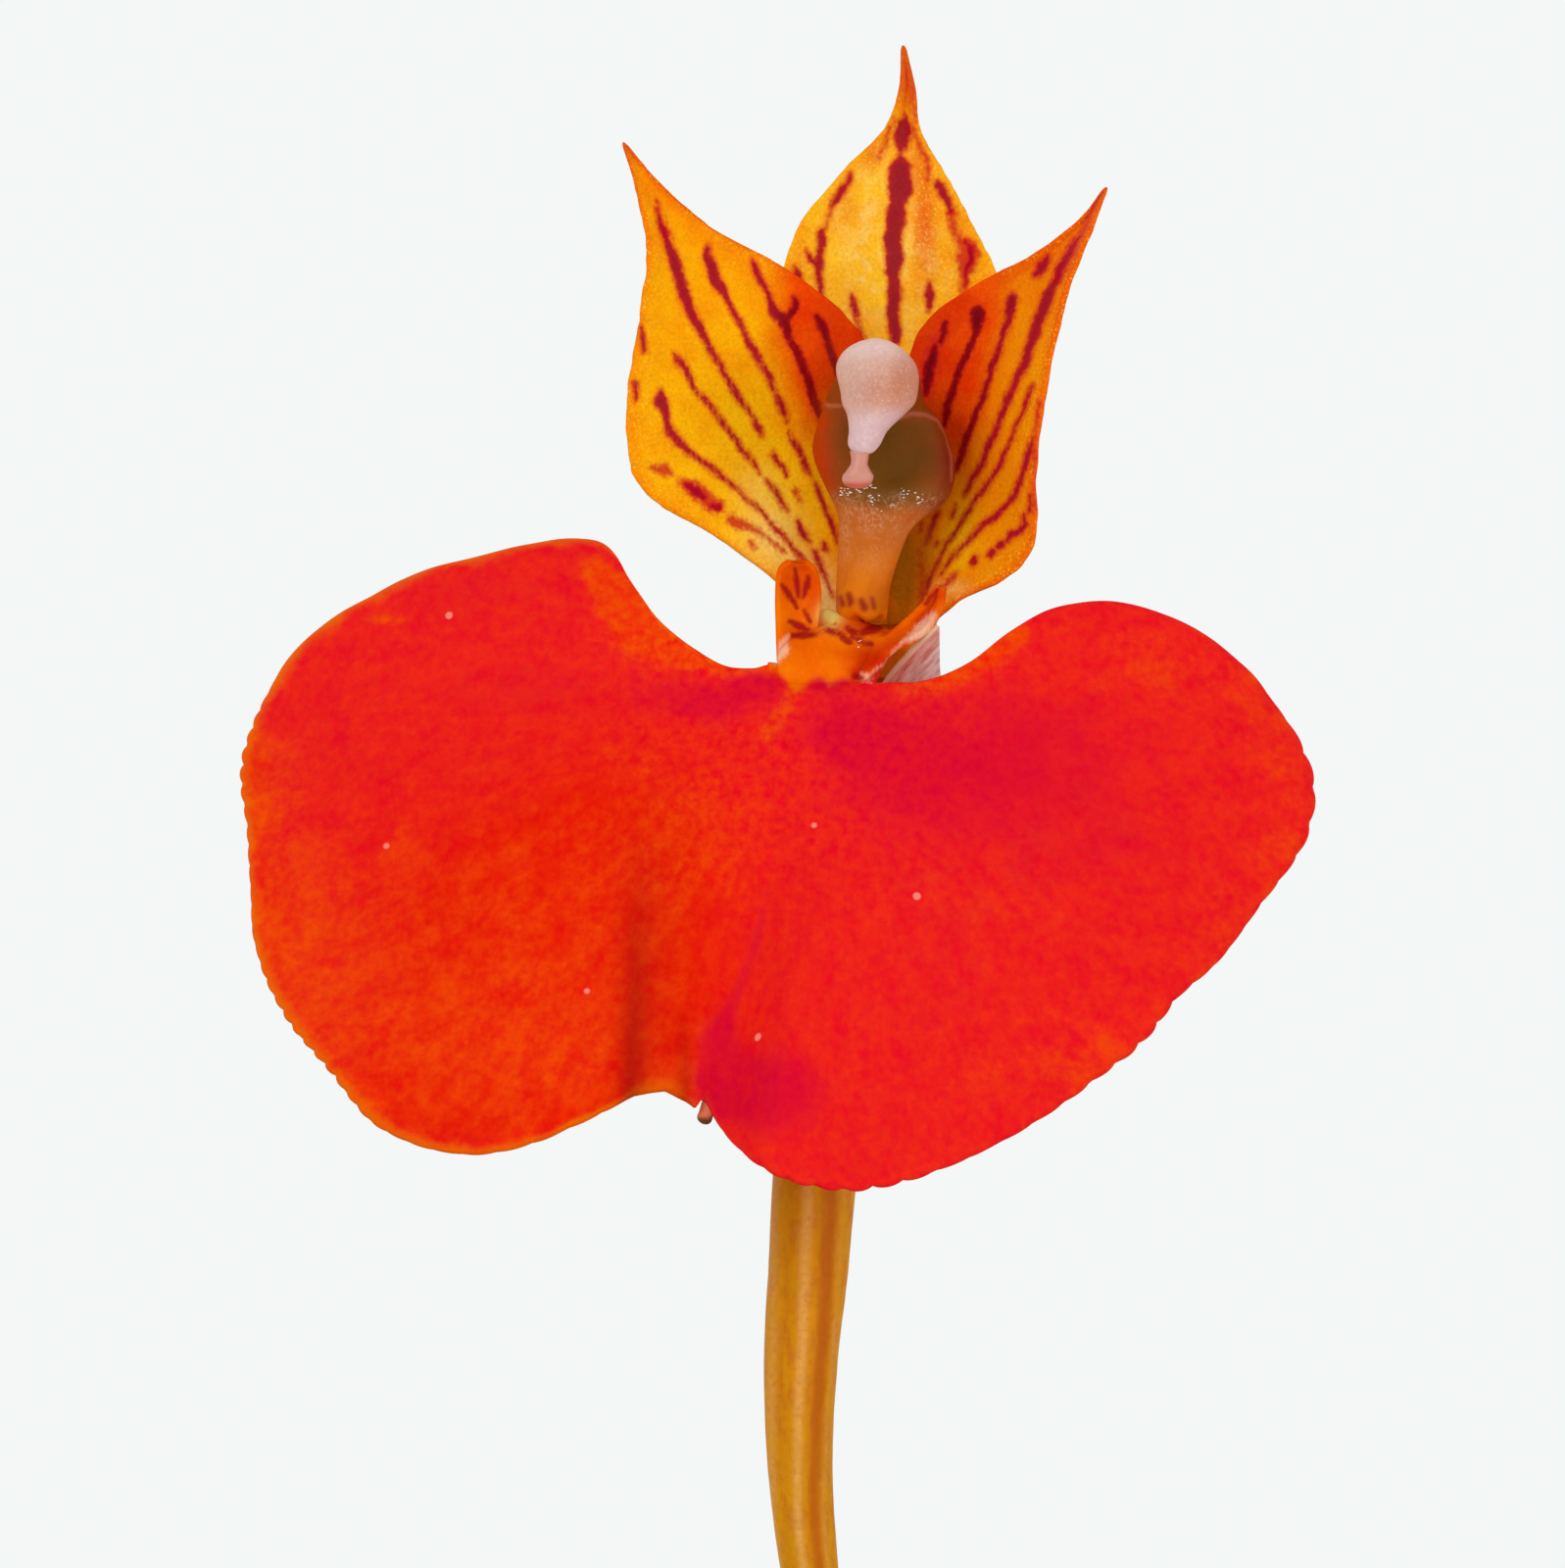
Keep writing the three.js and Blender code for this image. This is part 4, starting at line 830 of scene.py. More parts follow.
DORSAL_SMUDGES = [
    [(970, 215, 8), (972, 226, 9), (975, 238, 8), (980, 246, 10), (987, 252, 19), (990, 262, 22),
     (988, 272, 18)],
    [(982, 262, 12), (983, 280, 9), (983, 296, 8)], [(850, 209, 4), (845, 224, 5), (842, 234, 4)],
    [(875, 320, 5), (877, 332, 5), (881, 346, 6)], [(912, 124, 4), (904, 144, 5), (896, 160, 3)],
    [(930, 130, 6), (938, 148, 5), (946, 166, 5), (948, 184, 3)],
    [(928, 66, 2), (931, 90, 5), (933, 124, 4)], [(984, 250, 10), (990, 262, 16), (987, 273, 10)],
]
DORSAL_ORANGE = [
    (944, 232, 14, 60, 0.95), (936, 165, 16, 30, 0.5), (982, 240, 16, 40, 0.5), (815, 240, 12, 30, 0.3),
    (893, 158, 16, 20, 0.6), (862, 200, 12, 30, 0.4),
]
DORSAL_PALE = [
    (884, 260, 16, 50, 0.3), (920, 265, 12, 50, 0.2), (890, 200, 12, 24, 0.16), (950, 275, 16, 20, 0.12),
]
SHADE_TURNS = (600, 640)  # pixel rows between which the shade at the base turns from olive to amber
TEPAL_ROWS, TEPAL_CELLS = 184, 104


def hollowed(depth, wave, seed):
    """Moves a sheet's middle backwards by depth, as a sine across it and nearly the root of a sine along
    it, and lets its surface wave a little between the veins and its edges run a little unevenly."""
    def hollow(s, t):
        back = depth * np.sin(math.pi * s) * np.sin(math.pi * np.clip(t, 0.001, 0.999)) ** 0.6
        back = back + wave * wobble(s * 1.3, t * 1.6, seed) * np.sin(math.pi * t)
        rim = ramp(np.abs(s - 0.5), 0.38, 0.5) * np.sin(math.pi * t) ** 0.3
        return np.stack([0.04 * rim * wobble(t * 13, np.round(s) * 4, seed + 7), back, 0 * s], axis=-1)
    return hollow


def outline_depth(pixels, left, right):
    """How far inside the outline between two edges, seen from the camera, each pixel lies, in
    millimetres: the distance to the outline's nearest side, negative where a level line from the pixel
    crosses the outline an even number of times."""
    t = np.linspace(0, 1, 60)
    loop = seen(FLOWER + np.vstack([spline(left, t), spline(right, t)[::-1]]))
    best = np.full(pixels.shape[:-1], 1e9)
    inside = np.zeros(pixels.shape[:-1], bool)
    for a, b in zip(loop, np.roll(loop, -1, axis=0)):
        along = b - a
        u = np.clip(((pixels - a) @ along) / max(along @ along, 1e-9), 0, 1)
        best = np.minimum(best, np.linalg.norm(pixels - a - u[..., None] * along, axis=-1))
        crosses = (a[1] > pixels[..., 1]) != (b[1] > pixels[..., 1])
        rise = along[1] if abs(along[1]) > 1e-9 else 1e-9
        inside ^= crosses & (pixels[..., 0] < a[0] + (pixels[..., 1] - a[1]) / rise * along[0])
    return np.where(inside, best, -best) / PIXELS_PER_MM


# Soft ovals, each a middle in the photograph's pixels, half width, half height and strength
BASE_PALE = [
    (846, 630, 13, 18, 1.2), (843, 600, 10, 20, 0.7), (815, 572, 24, 12, 0.4), (965, 600, 20, 8, 0.4),
    (788, 545, 26, 26, 0.55), (772, 500, 20, 24, 0.2),
]
# Painted shade at the base of the petals and the dorsal sepal, beside the column
BASE_SHADE = [
    (920, 588, 17, 50, 1.3), (905, 634, 26, 10, 0.9), (914, 560, 14, 24, 0.6), (945, 560, 10, 26, 0.45),
    (846, 430, 10, 50, 0.3),
]
# Where the petals are more golden: partly their own colour, partly painted light where the inner petal
# glows with light through it
GOLDEN_AND_LIT_PLACES = [
    (700, 440, 60, 50, 0.1), (780, 520, 60, 60, 0.8), (748, 455, 40, 50, 0.7), (1000, 560, 30, 30, 0.3),
    (970, 555, 18, 26, 0.7), (805, 500, 24, 60, 0.5),
]
# Painted light: places where the inner half of a petal is kept as yellow as the outer one,
# for light that shines through the petal beside the column
PAINTED_LIGHT_PLACES = [
    (972, 560, 20, 24, 0.8), (985, 520, 16, 24, 0.35), (808, 500, 24, 46, 0.6), (795, 545, 24, 24, 0.5),
    (800, 430, 16, 34, 0.3),
]


def petal(name, node, left, right, stripes, smudges, depth, seed, inner_side):
    """One petal: a thin sheet between its edges, with its stripes, its redder inner half and tip."""
    surface = between(left, right, hollowed(depth, 0.07, seed))
    rings, s, t, _ = sheet(surface, TEPAL_THICKNESS, TEPAL_ROWS, TEPAL_CELLS, 0.4)
    rings = rings + FLOWER
    pixels = seen(rings)
    ragged = shaken(pixels, 1.6, seed)
    inward = s if inner_side == "right" else 1 - s
    rim = ramp(np.abs(s - 0.5), 0.44, 0.5)
    # how far inside the dorsal sepal's outline each point lies, which places the painted overlap shade
    behind = outline_depth(pixels, DORSAL_LEFT, DORSAL_RIGHT) + 0.2 * wobble(s * 3, t * 3, seed)
    warmth = 0.02 if inner_side == "right" else 0.5
    blush = warmth + 0.5 * ramp(t, 0.6, 1.0) + 0.3 * ramp(inward, 0.5, 1) + 0.4 * rim
    skin = Skin(
        rings,
        stripe=ink(ragged, stripes),
        smudge=ink(ragged, smudges),
        # painted shade where the dorsal sepal lies behind, deeper further inside its outline
        backed=ramp(behind, -0.8, 0.55) * ramp(t, 0.2, 0.45),
        deep=ramp(behind, 0.4, 2.0) * 0.6,
        # golden: own colour, and painted light on the inner petal
        golden=patches(pixels, GOLDEN_AND_LIT_PLACES),
        # where the painted glints show
        glitter=0.25 + 0.75 * ramp(np.abs(s - 0.5), 0.3, 0.5) + patches(pixels, BASE_PALE),
        # less blush under the painted light, which keeps the inner petal yellow
        blush=np.clip(blush - patches(pixels, PAINTED_LIGHT_PLACES), 0, 1),
        tip=ramp(t, 0.93, 1.0) * 0.7,
        pale=patches(pixels, BASE_PALE),
        mottled=0,
        # painted shade by the column
        shade=patches(pixels, BASE_SHADE),
        low=ramp(pixels[..., 1], *SHADE_TURNS),
    )
    stand_for(build(name, [skin], [TEPAL]), node)


def dorsal_sepal():
    """The sepal behind: a thin sheet between its edges, drawn out into a red tip."""
    surface = between(DORSAL_LEFT, DORSAL_RIGHT, hollowed(0.5, 0.08, 5))
    rings, s, t, _ = sheet(surface, TEPAL_THICKNESS, TEPAL_ROWS, TEPAL_CELLS, 0.5)
    rings = rings + FLOWER
    pixels = seen(rings)
    ragged = shaken(pixels, 1.8, 5)
    central = (1 - ramp(t, 0.72, 0.86)) * (1 - 0.8 * ramp(np.abs(s - 0.45), 0.2, 0.48))
    skin = Skin(
        rings,
        stripe=ink(ragged, DORSAL_STRIPES),
        smudge=ink(ragged, DORSAL_SMUDGES),
        # the dorsal sepal takes no painted overlap shade
        backed=0,
        deep=0,
        golden=central * 0.7,
        # painted glints all over the dorsal sepal
        glitter=1,
        blush=np.clip(patches(pixels, DORSAL_ORANGE) + 0.7 * ramp(t, 0.76, 0.92), 0, 1),
        tip=ramp(t, 0.78, 0.92) * 0.8,
        pale=patches(pixels, BASE_PALE) + 0.06 * central,
        mottled=0.1 * central + patches(pixels, DORSAL_PALE),
        # painted shade by the column
        shade=patches(pixels, BASE_SHADE),
        low=ramp(pixels[..., 1], *SHADE_TURNS),
    )
    stand_for(build("dorsal_sepal_skin", [skin], [TEPAL]), "dorsal_sepal")


# Joined lateral sepals and their spur

JOINED_LEFT = [
    (-1.4, 1.4, 0.35), (-2.0, 0.6, -1.5), (-3.3, -0.2, -3.6), (-3.8, -0.9, -6.0), (-3.3, -1.6, -8.5),
    (-2.0, -2.2, -10.6), (-0.9, -2.6, -12.2),
]
JOINED_RIGHT = [
    (2.8, 1.2, 0.55), (2.9, 0.8, -1.0), (3.1, -0.2, -3.4), (2.6, -0.9, -6.0), (1.5, -1.6, -8.5),
    (0.2, -2.2, -10.6), (-0.7, -2.6, -12.3),
]
MARGIN_LEFT = [
    (0.98, 0.6, -1.55), (1.33, 0.35, -1.05), (1.8, 0.1, -0.52), (2.28, -0.1, -0.05), (2.68, -0.2, 0.45),
]
MARGIN_RIGHT = [
    (3.05, 0.0, -2.8), (2.95, 0.6, -1.6), (2.88, 0.85, -0.9), (2.85, 0.9, -0.3), (2.8, 0.5, 0.4),
]
NET_EDGE = [(902, 696), (951, 644)]  # pixels along the pale edge of the turned margin
# Orange-ochre of the joined blade beside the ear: its own colour, painted brighter as painted light against
# the ear's shadow
OCHRE_PLACES = [(910, 680, 44, 44, 1.2), (915, 640, 44, 24, 1.0)]
SPUR_ROUTE = [
    (0.5, 2.2, -1.2), (0.2, 2.2, -4.0), (-0.5, 1.7, -9.5), (-1.1, 0.9, -16.0), (-1.5, 0.5, -21.3),
    (-1.75, 0.3, -24.6), (-1.75, 0.3, -27.9), (-1.45, 0.5, -31.1), (-0.8, 0.9, -36.0), (-0.2, 1.6, -40.3),
]
SPUR_RADII = [1.7, 1.8, 1.65, 1.5, 1.4, 1.28, 1.1, 0.95, 0.8, 0.5]


def joined_blade():
    """The two lower sepals grown into one sheet, cupped backwards as a sine across it."""
    def cupped(s, t):
        back = 1.5 * np.sin(math.pi * s) * (1 - t) ** 0.5
        return np.stack([0 * s, back + 0.05 * wobble(s * 2, t * 2, 8), 0 * s], axis=-1)

    rings, s, t, _ = sheet(between(JOINED_LEFT, JOINED_RIGHT, cupped), thickness=0.36, rows=110, cells=60)
    ochre = patches(seen(rings + FLOWER), OCHRE_PLACES)
    return Skin(rings + FLOWER, light=0, dark=0, across=s, onward=t, net=0, ochre=ochre)


def turned_margin():
    """The joined sepals' margin where it turns forwards beside the column and shows its veined back: a
    swollen strip, whose veins run square to its pale edge."""
    def swollen(s, t):
        return np.stack([0 * s, -0.25 * np.sin(math.pi * s), 0 * s], axis=-1)

    rings = sheet(between(MARGIN_LEFT, MARGIN_RIGHT, swollen), thickness=0.3, rows=60, cells=40)[0] + FLOWER
    (ax, ay), (bx, by) = NET_EDGE
    run = np.hypot(bx - ax, by - ay)
    reach = (seen(rings) - (ax, ay)) / PIXELS_PER_MM
    across = (reach[..., 0] * (ay - by) + reach[..., 1] * (bx - ax)) / run
    onward = (reach[..., 0] * (bx - ax) + reach[..., 1] * (by - ay)) / run
    return Skin(rings, light=0, dark=0, across=across, onward=onward, net=1, ochre=0)


def spur():
    """The long tapering spur that runs down from the joined sepals: a tube with five low ribs, rounded at
    its tip, with bands of painted highlight and painted shade that lie at fixed shares of its width as the
    camera sees it."""
    rows, around = 270, 64
    path = even_route(SPUR_ROUTE, rows) + FLOWER
    t = np.linspace(0, 1, rows)[:, None]
    turn = np.linspace(0, 1, around, endpoint=False)[None]
    ribs = 1 + 0.02 * np.cos(TAU * 5 * turn) + 0.012 * wobble(t * 9, turn * 2, 4)
    radius = eased(SPUR_RADII, t) * ribs * rounded_ends(rows, 0.012)[:, None]
    rings = tube(path, radius, around)
    lie = (rings[..., 0] - path[:, None, 0]) / eased(SPUR_RADII, t) + 0.12 * wobble(t * 3, 0 * t, 6)
    # painted highlights: a bright band left of the middle, a pale left edge and a light rim on the right
    light = bell((lie + 0.1) / 0.18) + 0.7 * bell((lie + 0.9) / 0.2) + 0.5 * bell((lie - 0.75) / 0.12)
    broken = 0.5 + 0.5 * wobble(t * 4, 0 * t, 12)
    # painted shade: a dark band right of the middle and a narrow one left of the highlight
    dark = 1.2 * bell((lie - 0.44) / 0.2) + 0.5 * bell((lie + 0.5) / 0.14) * broken
    return Skin(rings, light=light, dark=dark, across=0, onward=0, net=0, ochre=0)


def joined_sepals():
    """The two lower sepals with their turned margin and their spur, one piece."""
    skins = [joined_blade(), turned_margin(), spur()]
    stand_for(build("joined_sepals_skin", skins, [SPUR]), "joined_sepals_and_spur")


# Lip

LIP_OUTLINE = [
    (-2.5, -0.95), (-2.85, -0.99), (-3.4, -1.08), (-4.24, -0.96), (-5.22, -0.43), (-5.87, 0.03),
    (-6.53, 0.62), (-7.02, 1.27), (-7.52, 2.0), (-7.91, 2.69), (-8.34, 3.12), (-8.9, 3.3), (-9.81, 3.29),
    (-11.14, 3.06), (-12.8, 2.64), (-14.47, 2.2), (-16.13, 1.42), (-17.74, 0.5), (-18.95, -0.65),
    (-19.68, -2.0), (-20.15, -3.12), (-20.42, -4.59), (-20.2, -6.22), (-20.06, -8.01), (-19.9, -9.95),
    (-19.3, -11.56), (-18.46, -12.93), (-17.1, -14.4), (-15.85, -15.88), (-14.32, -16.72),
    (-12.54, -17.0), (-10.61, -16.65), (-8.69, -15.85), (-7.09, -15.06), (-6.2, -14.93), (-5.55, -15.2),
    (-5.2, -15.45), (-4.95, -15.2), (-4.7, -15.6), (-4.05, -16.55), (-2.61, -17.55), (-0.71, -17.98),
    (1.27, -17.86), (3.6, -17.12), (5.68, -16.09), (7.63, -14.7), (9.42, -13.33), (10.7, -11.9),
    (12.17, -10.63), (13.55, -8.87), (14.94, -7.05), (15.4, -5.24), (15.02, -3.68), (14.12, -2.18),
    (13.18, -0.92), (11.72, 0.2), (9.96, 0.93), (8.33, 1.19), (6.69, 0.96), (5.2, 0.14), (3.89, -0.85),
    (2.58, -1.44), (1.28, -1.61), (0.47, -1.57),
]
LIP_MIDDLE = (-2.5, -9.0)
LIP_TOP, LIP_DROP, LIP_REACH = -1.4, 16.5, 7.2
LIP_HALF_WIDTH = 17.5
LIP_THICKNESS = 0.42
NOTCH_POINT = [(-4.72, -7.3, -15.0), (-4.78, -7.2, -15.4), (-4.86, -7.2, -15.75), (-4.98, -7.3, -16.0)]
# Soft ovals, each a middle in the photograph's pixels, half width, half height and strength
ORANGE_PATCHES = [
    (655, 636, 34, 38, 1.1), (625, 604, 26, 26, 0.8), (300, 960, 90, 130, 0.6), (440, 1090, 160, 80, 0.5),
    (620, 1080, 110, 70, 0.4), (540, 930, 160, 120, 0.3), (395, 632, 22, 5, 1.2), (250, 780, 50, 60, 0.5),
    (1180, 690, 90, 26, 0.5), (700, 860, 70, 120, 0.5), (1290, 960, 70, 90, 0.5),
    (1100, 1080, 130, 50, 0.45), (1010, 900, 110, 90, 0.3), (695, 1096, 14, 16, 1.4),
    (480, 980, 150, 110, 0.25), (1300, 720, 50, 60, 0.5), (1335, 850, 40, 90, 0.5),
    (1240, 1020, 50, 60, 0.4), (240, 790, 34, 110, 0.55), (255, 930, 34, 100, 0.55),
    (1150, 1110, 60, 30, 0.4), (1185, 655, 60, 14, 0.4),
]
PURE_PATCHES = [
    (520, 960, 190, 150, 1.2), (640, 880, 110, 120, 0.9), (470, 1120, 180, 70, 0.9),
    (640, 1060, 90, 80, 1.0),
]
ROSE_PATCHES = [
    (734, 1078, 18, 44, 1.3), (785, 1118, 54, 46, 0.9), (900, 790, 90, 90, 0.6),
    (1060, 740, 150, 60, 0.5), (772, 700, 26, 14, 1.2), (836, 697, 9, 7, 1.2), (856, 695, 9, 6, 1.1),
    (720, 716, 60, 24, 0.8), (860, 744, 40, 30, 0.7), (960, 1000, 90, 110, 0.3), (560, 700, 150, 40, 0.4),
    (470, 600, 110, 30, 0.4), (1120, 860, 140, 80, 0.45), (1010, 800, 90, 60, 0.4),
    (760, 1110, 60, 40, 0.5),
]
CREASE_LINE = [
    [(784, 900, 0), (777, 935, 5), (770, 968, 7), (757, 1002, 8), (745, 1031, 8), (733, 1066, 8),
     (720, 1104, 7)],
]
CLAW_TAIL = [[(812, 696, 8), (807, 712, 7), (800, 724, 6), (792, 736, 5), (782, 750, 3)]]
NOTCH_EDGE = [
    [(606, 580, 4), (628, 612, 12), (650, 640, 18), (676, 656, 16), (704, 668, 10), (740, 677, 8),
     (790, 680, 10)],
    [(925, 702, 2), (950, 696, 8), (975, 686, 12), (1010, 666, 10), (1040, 647, 5)],
]


def lip_depth(x, z):
    """How far back the lip's middle surface lies at x and z. It hangs forward as it goes down, its sides
    fall back with the square of their distance, its shoulders curl back, and a crease runs from the claw
    to the notch, with two lower folds to its left and the right lobe swelling out beside it. Its top edge
    tucks in behind the claw."""
    below = (LIP_TOP - z) / LIP_DROP
    down = np.clip(below, 0, 1)
    eased_down = 0.5 * (below + np.hypot(below, 0.05))
    crease = -1.5 - 3.4 * down
    sideways = (x - LIP_MIDDLE[0]) / LIP_HALF_WIDTH
    back = -(2.2 + LIP_REACH * eased_down**0.85) + 4.6 * sideways**2 * (1 - 0.25 * down)
    back = back + 0.1 * np.maximum(0, z - LIP_TOP) ** 2
    back = back + 1.1 * bell((x - crease) / 1.5) * ramp(down, 0, 0.9)
    back = back - 0.5 * bell((x - crease - 1.7) / 1.1) * ramp(down, 0.25, 0.8)
    back = back + 0.24 * bell((x + 6.9 + 0.6 * down) / 0.55) * ramp(down, 0.35, 0.85)
    back = back + 0.22 * bell((x + 5.6) / 0.35) * ramp(down, 0.6, 0.85)
    back = back + 0.85 * bell((x + 0.9) / 1.7) * ramp(z, -2.1, -1.3)
    return back + 0.14 * wobble(x / 11, z / 11, 21) * ramp(down, 0, 0.2)


# The claw's lower boundary on the blade, in the photograph's pixels, and what is drawn near it
CLAW_EDGE = [
    (784, 680), (793, 684), (802, 692), (811, 704), (820, 699), (829, 690), (838, 688), (846, 696),
    (858, 690), (872, 690), (884, 686), (888, 0),
]
# Red-orange on ears and claw: own colour, and painted shadow under the column's foot and in the claw's
# hollows
RED_AND_SHADOW_PATCHES = [
    (925, 660, 30, 16, 0.7), (900, 680, 22, 12, 0.9), (945, 636, 16, 16, 0.8), (960, 606, 14, 16, 0.7),
    (818, 590, 34, 36, 0.6), (874, 688, 10, 8, 0.8), (880, 640, 34, 10, 0.6), (880, 666, 18, 14, 0.5),
    (815, 642, 16, 8, 0.6),
]
CREAM_PATCHES = [(848, 627, 11, 11, 1.3)]
HAIR_STROKES = [
    [(803, 650, 0), (801, 659, 8), (797, 668, 8), (793, 675, 2)], [(879, 690, 3), (885, 692, 5)],
    [(928, 652, 5), (936, 648, 12), (944, 641, 14), (951, 628, 6)],
    [(887, 692, -2), (898, 681, -2), (907, 674, -2), (914, 663, -2), (921, 655, -1), (928, 648, 0)],
]
CLAW_BUMPS = [
    (836, 652, 9, 8, 0.26), (828, 664, 12, 10, 0.14), (860, 676, 14, 10, 0.12), (878, 655, 8, 6, 0.12),
]
CLAW_HOLLOWS = [(816, 643, 13, 8, 0.26), (856, 650, 10, 5, 0.2), (872, 664, 14, 6, 0.12)]
CLAW_CENTRE = (-1.6, -1.4)  # x and z from where the veins fan out
VEIN_FAN, VEIN_STRETCH = 14, 0.55  # how close the veins lie across the fan, and how long along it


def lip_values(points):
    """The colours' places on the lip, its claw and its ears, which all read the same map: how orange, rose,
    red or in painted shadow, and downy each point is, whether it is the claw, and where it lies in the fan
    of veins."""
    pixels = seen(points)
    local = points - FLOWER
    x, z = local[..., 0] - CLAW_CENTRE[0], local[..., 2] - CLAW_CENTRE[1]
    far = np.hypot(x, z)
    across, height = np.transpose(CLAW_EDGE)
    edge = np.interp(pixels[..., 0], across, height, left=0, right=0)
    edged = 1.3 * ramp(ink(pixels, NOTCH_EDGE), -0.7, 0.1)
    tail = 1.1 * ramp(ink(pixels, CLAW_TAIL), -0.35, 0.1)
    crease = 0.6 * ramp(ink(pixels, CREASE_LINE), -0.3, 0.1)
    return {
        "orange": patches(pixels, ORANGE_PATCHES) + edged + tail,
        "rose": patches(pixels, ROSE_PATCHES) + crease,
        "pure": patches(pixels, PURE_PATCHES),
        # own red-orange, and painted shadow
        "red": patches(pixels, RED_AND_SHADOW_PATCHES),
        "hair": ramp(ink(shaken(pixels, 2.0, 31), HAIR_STROKES), -0.3, 0.12),
        "cream": patches(pixels, CREAM_PATCHES),
        "claw": ramp(edge - pixels[..., 1], -14, 10),
        "stripe": ink(shaken(pixels, 1.2, 33), CLAW_MARKS),
        "bearing": np.arctan2(x, -z) * VEIN_FAN,
        "far": far * VEIN_STRETCH,
    }


LIP_AROUND, FRONT_STEPS, BACK_STEPS = 960, 64, 16


def scallops(outline, length, run, low):
    """How far the lip's margin stands out beyond its outline: a slow unevenness, and on the lower part
    fine teeth, a power of a sine along the margin, closer on the left and uneven in height."""
    pitch = 3.1 + 2.0 * ramp(-outline[:, 0], 12, 18)
    phase = np.cumsum(length * pitch) + 1.4 * np.sin(run * 0.37)
    teeth = np.abs(np.sin(phase)) ** 0.7
    return 0.14 * low * (0.6 + 0.4 * np.sin(run * 0.61)) * teeth + 0.05 * wobble(run / 6, 0 * run, 3)


def lip_fold_shade(x, down):
    """How much painted shade darkens the two lower folds to the left of the lip's notch: bells across each
    of them.
    """
    long_fold = 0.9 * bell((x + 6.8 + 0.6 * down) / 0.5) * ramp(down, 0.2, 0.8)
    long_fold = long_fold + 0.3 * bell((x + 6.2 + 0.6 * down) / 1.2) * ramp(down, 0.1, 0.6)
    short_fold = 0.7 * bell((x + 5.6) / 0.3) * ramp(down, 0.6, 0.85)
    return long_fold + short_fold


def lip_blade():
    """The blade as rings round its middle: each point goes from the middle to the outline by a share that
    runs out along the front and home along the back. The margin is finely scalloped and waves."""
    turn = np.linspace(0, 1, LIP_AROUND, endpoint=False)
    outline = spline(LIP_OUTLINE, turn, closed=True)
    out = outline - np.array(LIP_MIDDLE)
    length = np.linalg.norm(np.roll(outline, -1, axis=0) - outline, axis=1)
    run = np.cumsum(length)
    low = ramp(-outline[:, 1], 0.5, 4.0)
    scallop = scallops(outline, length, run, low)
    share = np.concatenate([np.linspace(0, 1, FRONT_STEPS), np.linspace(1, 0, BACK_STEPS + 2)[1:-1]])
    facing = np.concatenate([np.full(FRONT_STEPS, 1.0), np.full(BACK_STEPS, -1.0)])
    share = 0.012 + 0.988 * (1 - (1 - share) ** 1.35)
    side = facing * np.clip((1.0 - share) * 60, 0, 1) ** 0.5
    span = np.linalg.norm(out, axis=1)
    reach = share[:, None] * span + scallop * ramp(share, 0.9, 1)[:, None]
    spoke = out / span[:, None]
    px = LIP_MIDDLE[0] + spoke[:, 0] * reach
    pz = LIP_MIDDLE[1] + spoke[:, 1] * reach
    ripple = 0.16 * ramp(share, 0.75, 1)[:, None] * low * np.sin(run * 0.9 + 0.8 * np.sin(run * 0.31))
    small = 0.02
    middle = np.stack([px, lip_depth(px, pz) + ripple, pz], axis=-1)
    slope_x = (lip_depth(px + small, pz) - lip_depth(px - small, pz)) / (2 * small)
    slope_z = (lip_depth(px, pz + small) - lip_depth(px, pz - small)) / (2 * small)
    normal = unit(np.stack([slope_x, -np.ones_like(px), slope_z], axis=-1))
    rings = middle + normal * (side * LIP_THICKNESS / 2)[:, None, None] + FLOWER
    inset = (1 - share)[:, None] * span
    leftward = 0.2 + 0.8 * ramp(-px, 2, 8)
    margin = bell(inset / 0.7) * leftward * 0.75 + 0.25 * bell(inset / 0.25)
    # painted shade in the lower folds
    fold = lip_fold_shade(px, np.clip((LIP_TOP - pz) / LIP_DROP, 0, 1))
    return Skin(rings, margin=margin, fold=fold, withered=0, **lip_values(rings))


CLAW_LEFT = [
    (-1.15, 0.5, 0.9), (-1.2, -0.4, 0.3), (-1.8, -1.4, 0.0), (-2.4, -2.05, -0.5), (-2.52, -2.4, -1.05),
    (-2.5, -2.35, -1.6), (-2.3, -1.7, -2.2),
]
CLAW_RIGHT = [
    (1.3, 1.3, 0.1), (1.3, 0.2, 0.0), (1.35, -0.6, -0.15), (1.2, -1.0, -0.6), (0.95, -1.5, -1.15),
    (0.75, -1.9, -1.6), (0.6, -1.7, -2.2),
]
LEFT_EAR_OUTER = [
    (-2.5, -2.1, -0.9), (-2.52, -1.8, 0.3), (-2.54, -1.5, 1.3), (-2.46, -1.35, 2.2), (-2.1, -1.2, 2.52),
]
LEFT_EAR_INNER = [
    (-1.15, -1.9, -0.7), (-1.15, -1.2, 0.4), (-1.06, -0.8, 1.3), (-1.16, -0.8, 2.1), (-1.5, -1.0, 2.5),
]
RIGHT_EAR_INNER = [
    (-0.4, -0.9, -0.25), (0.5, -1.0, -0.1), (1.1, -0.95, 0.05), (1.6, -0.85, 0.42), (2.1, -0.8, 0.85),
    (2.5, -0.8, 1.25), (2.84, -0.88, 1.73),
]
RIGHT_EAR_OUTER = [
    (0.0, -2.2, -1.7), (0.62, -2.5, -1.2), (1.3, -2.0, -0.48), (2.1, -1.5, -0.05), (2.66, -1.2, 0.42),
    (2.94, -1.0, 1.15), (2.93, -0.92, 1.66),
]
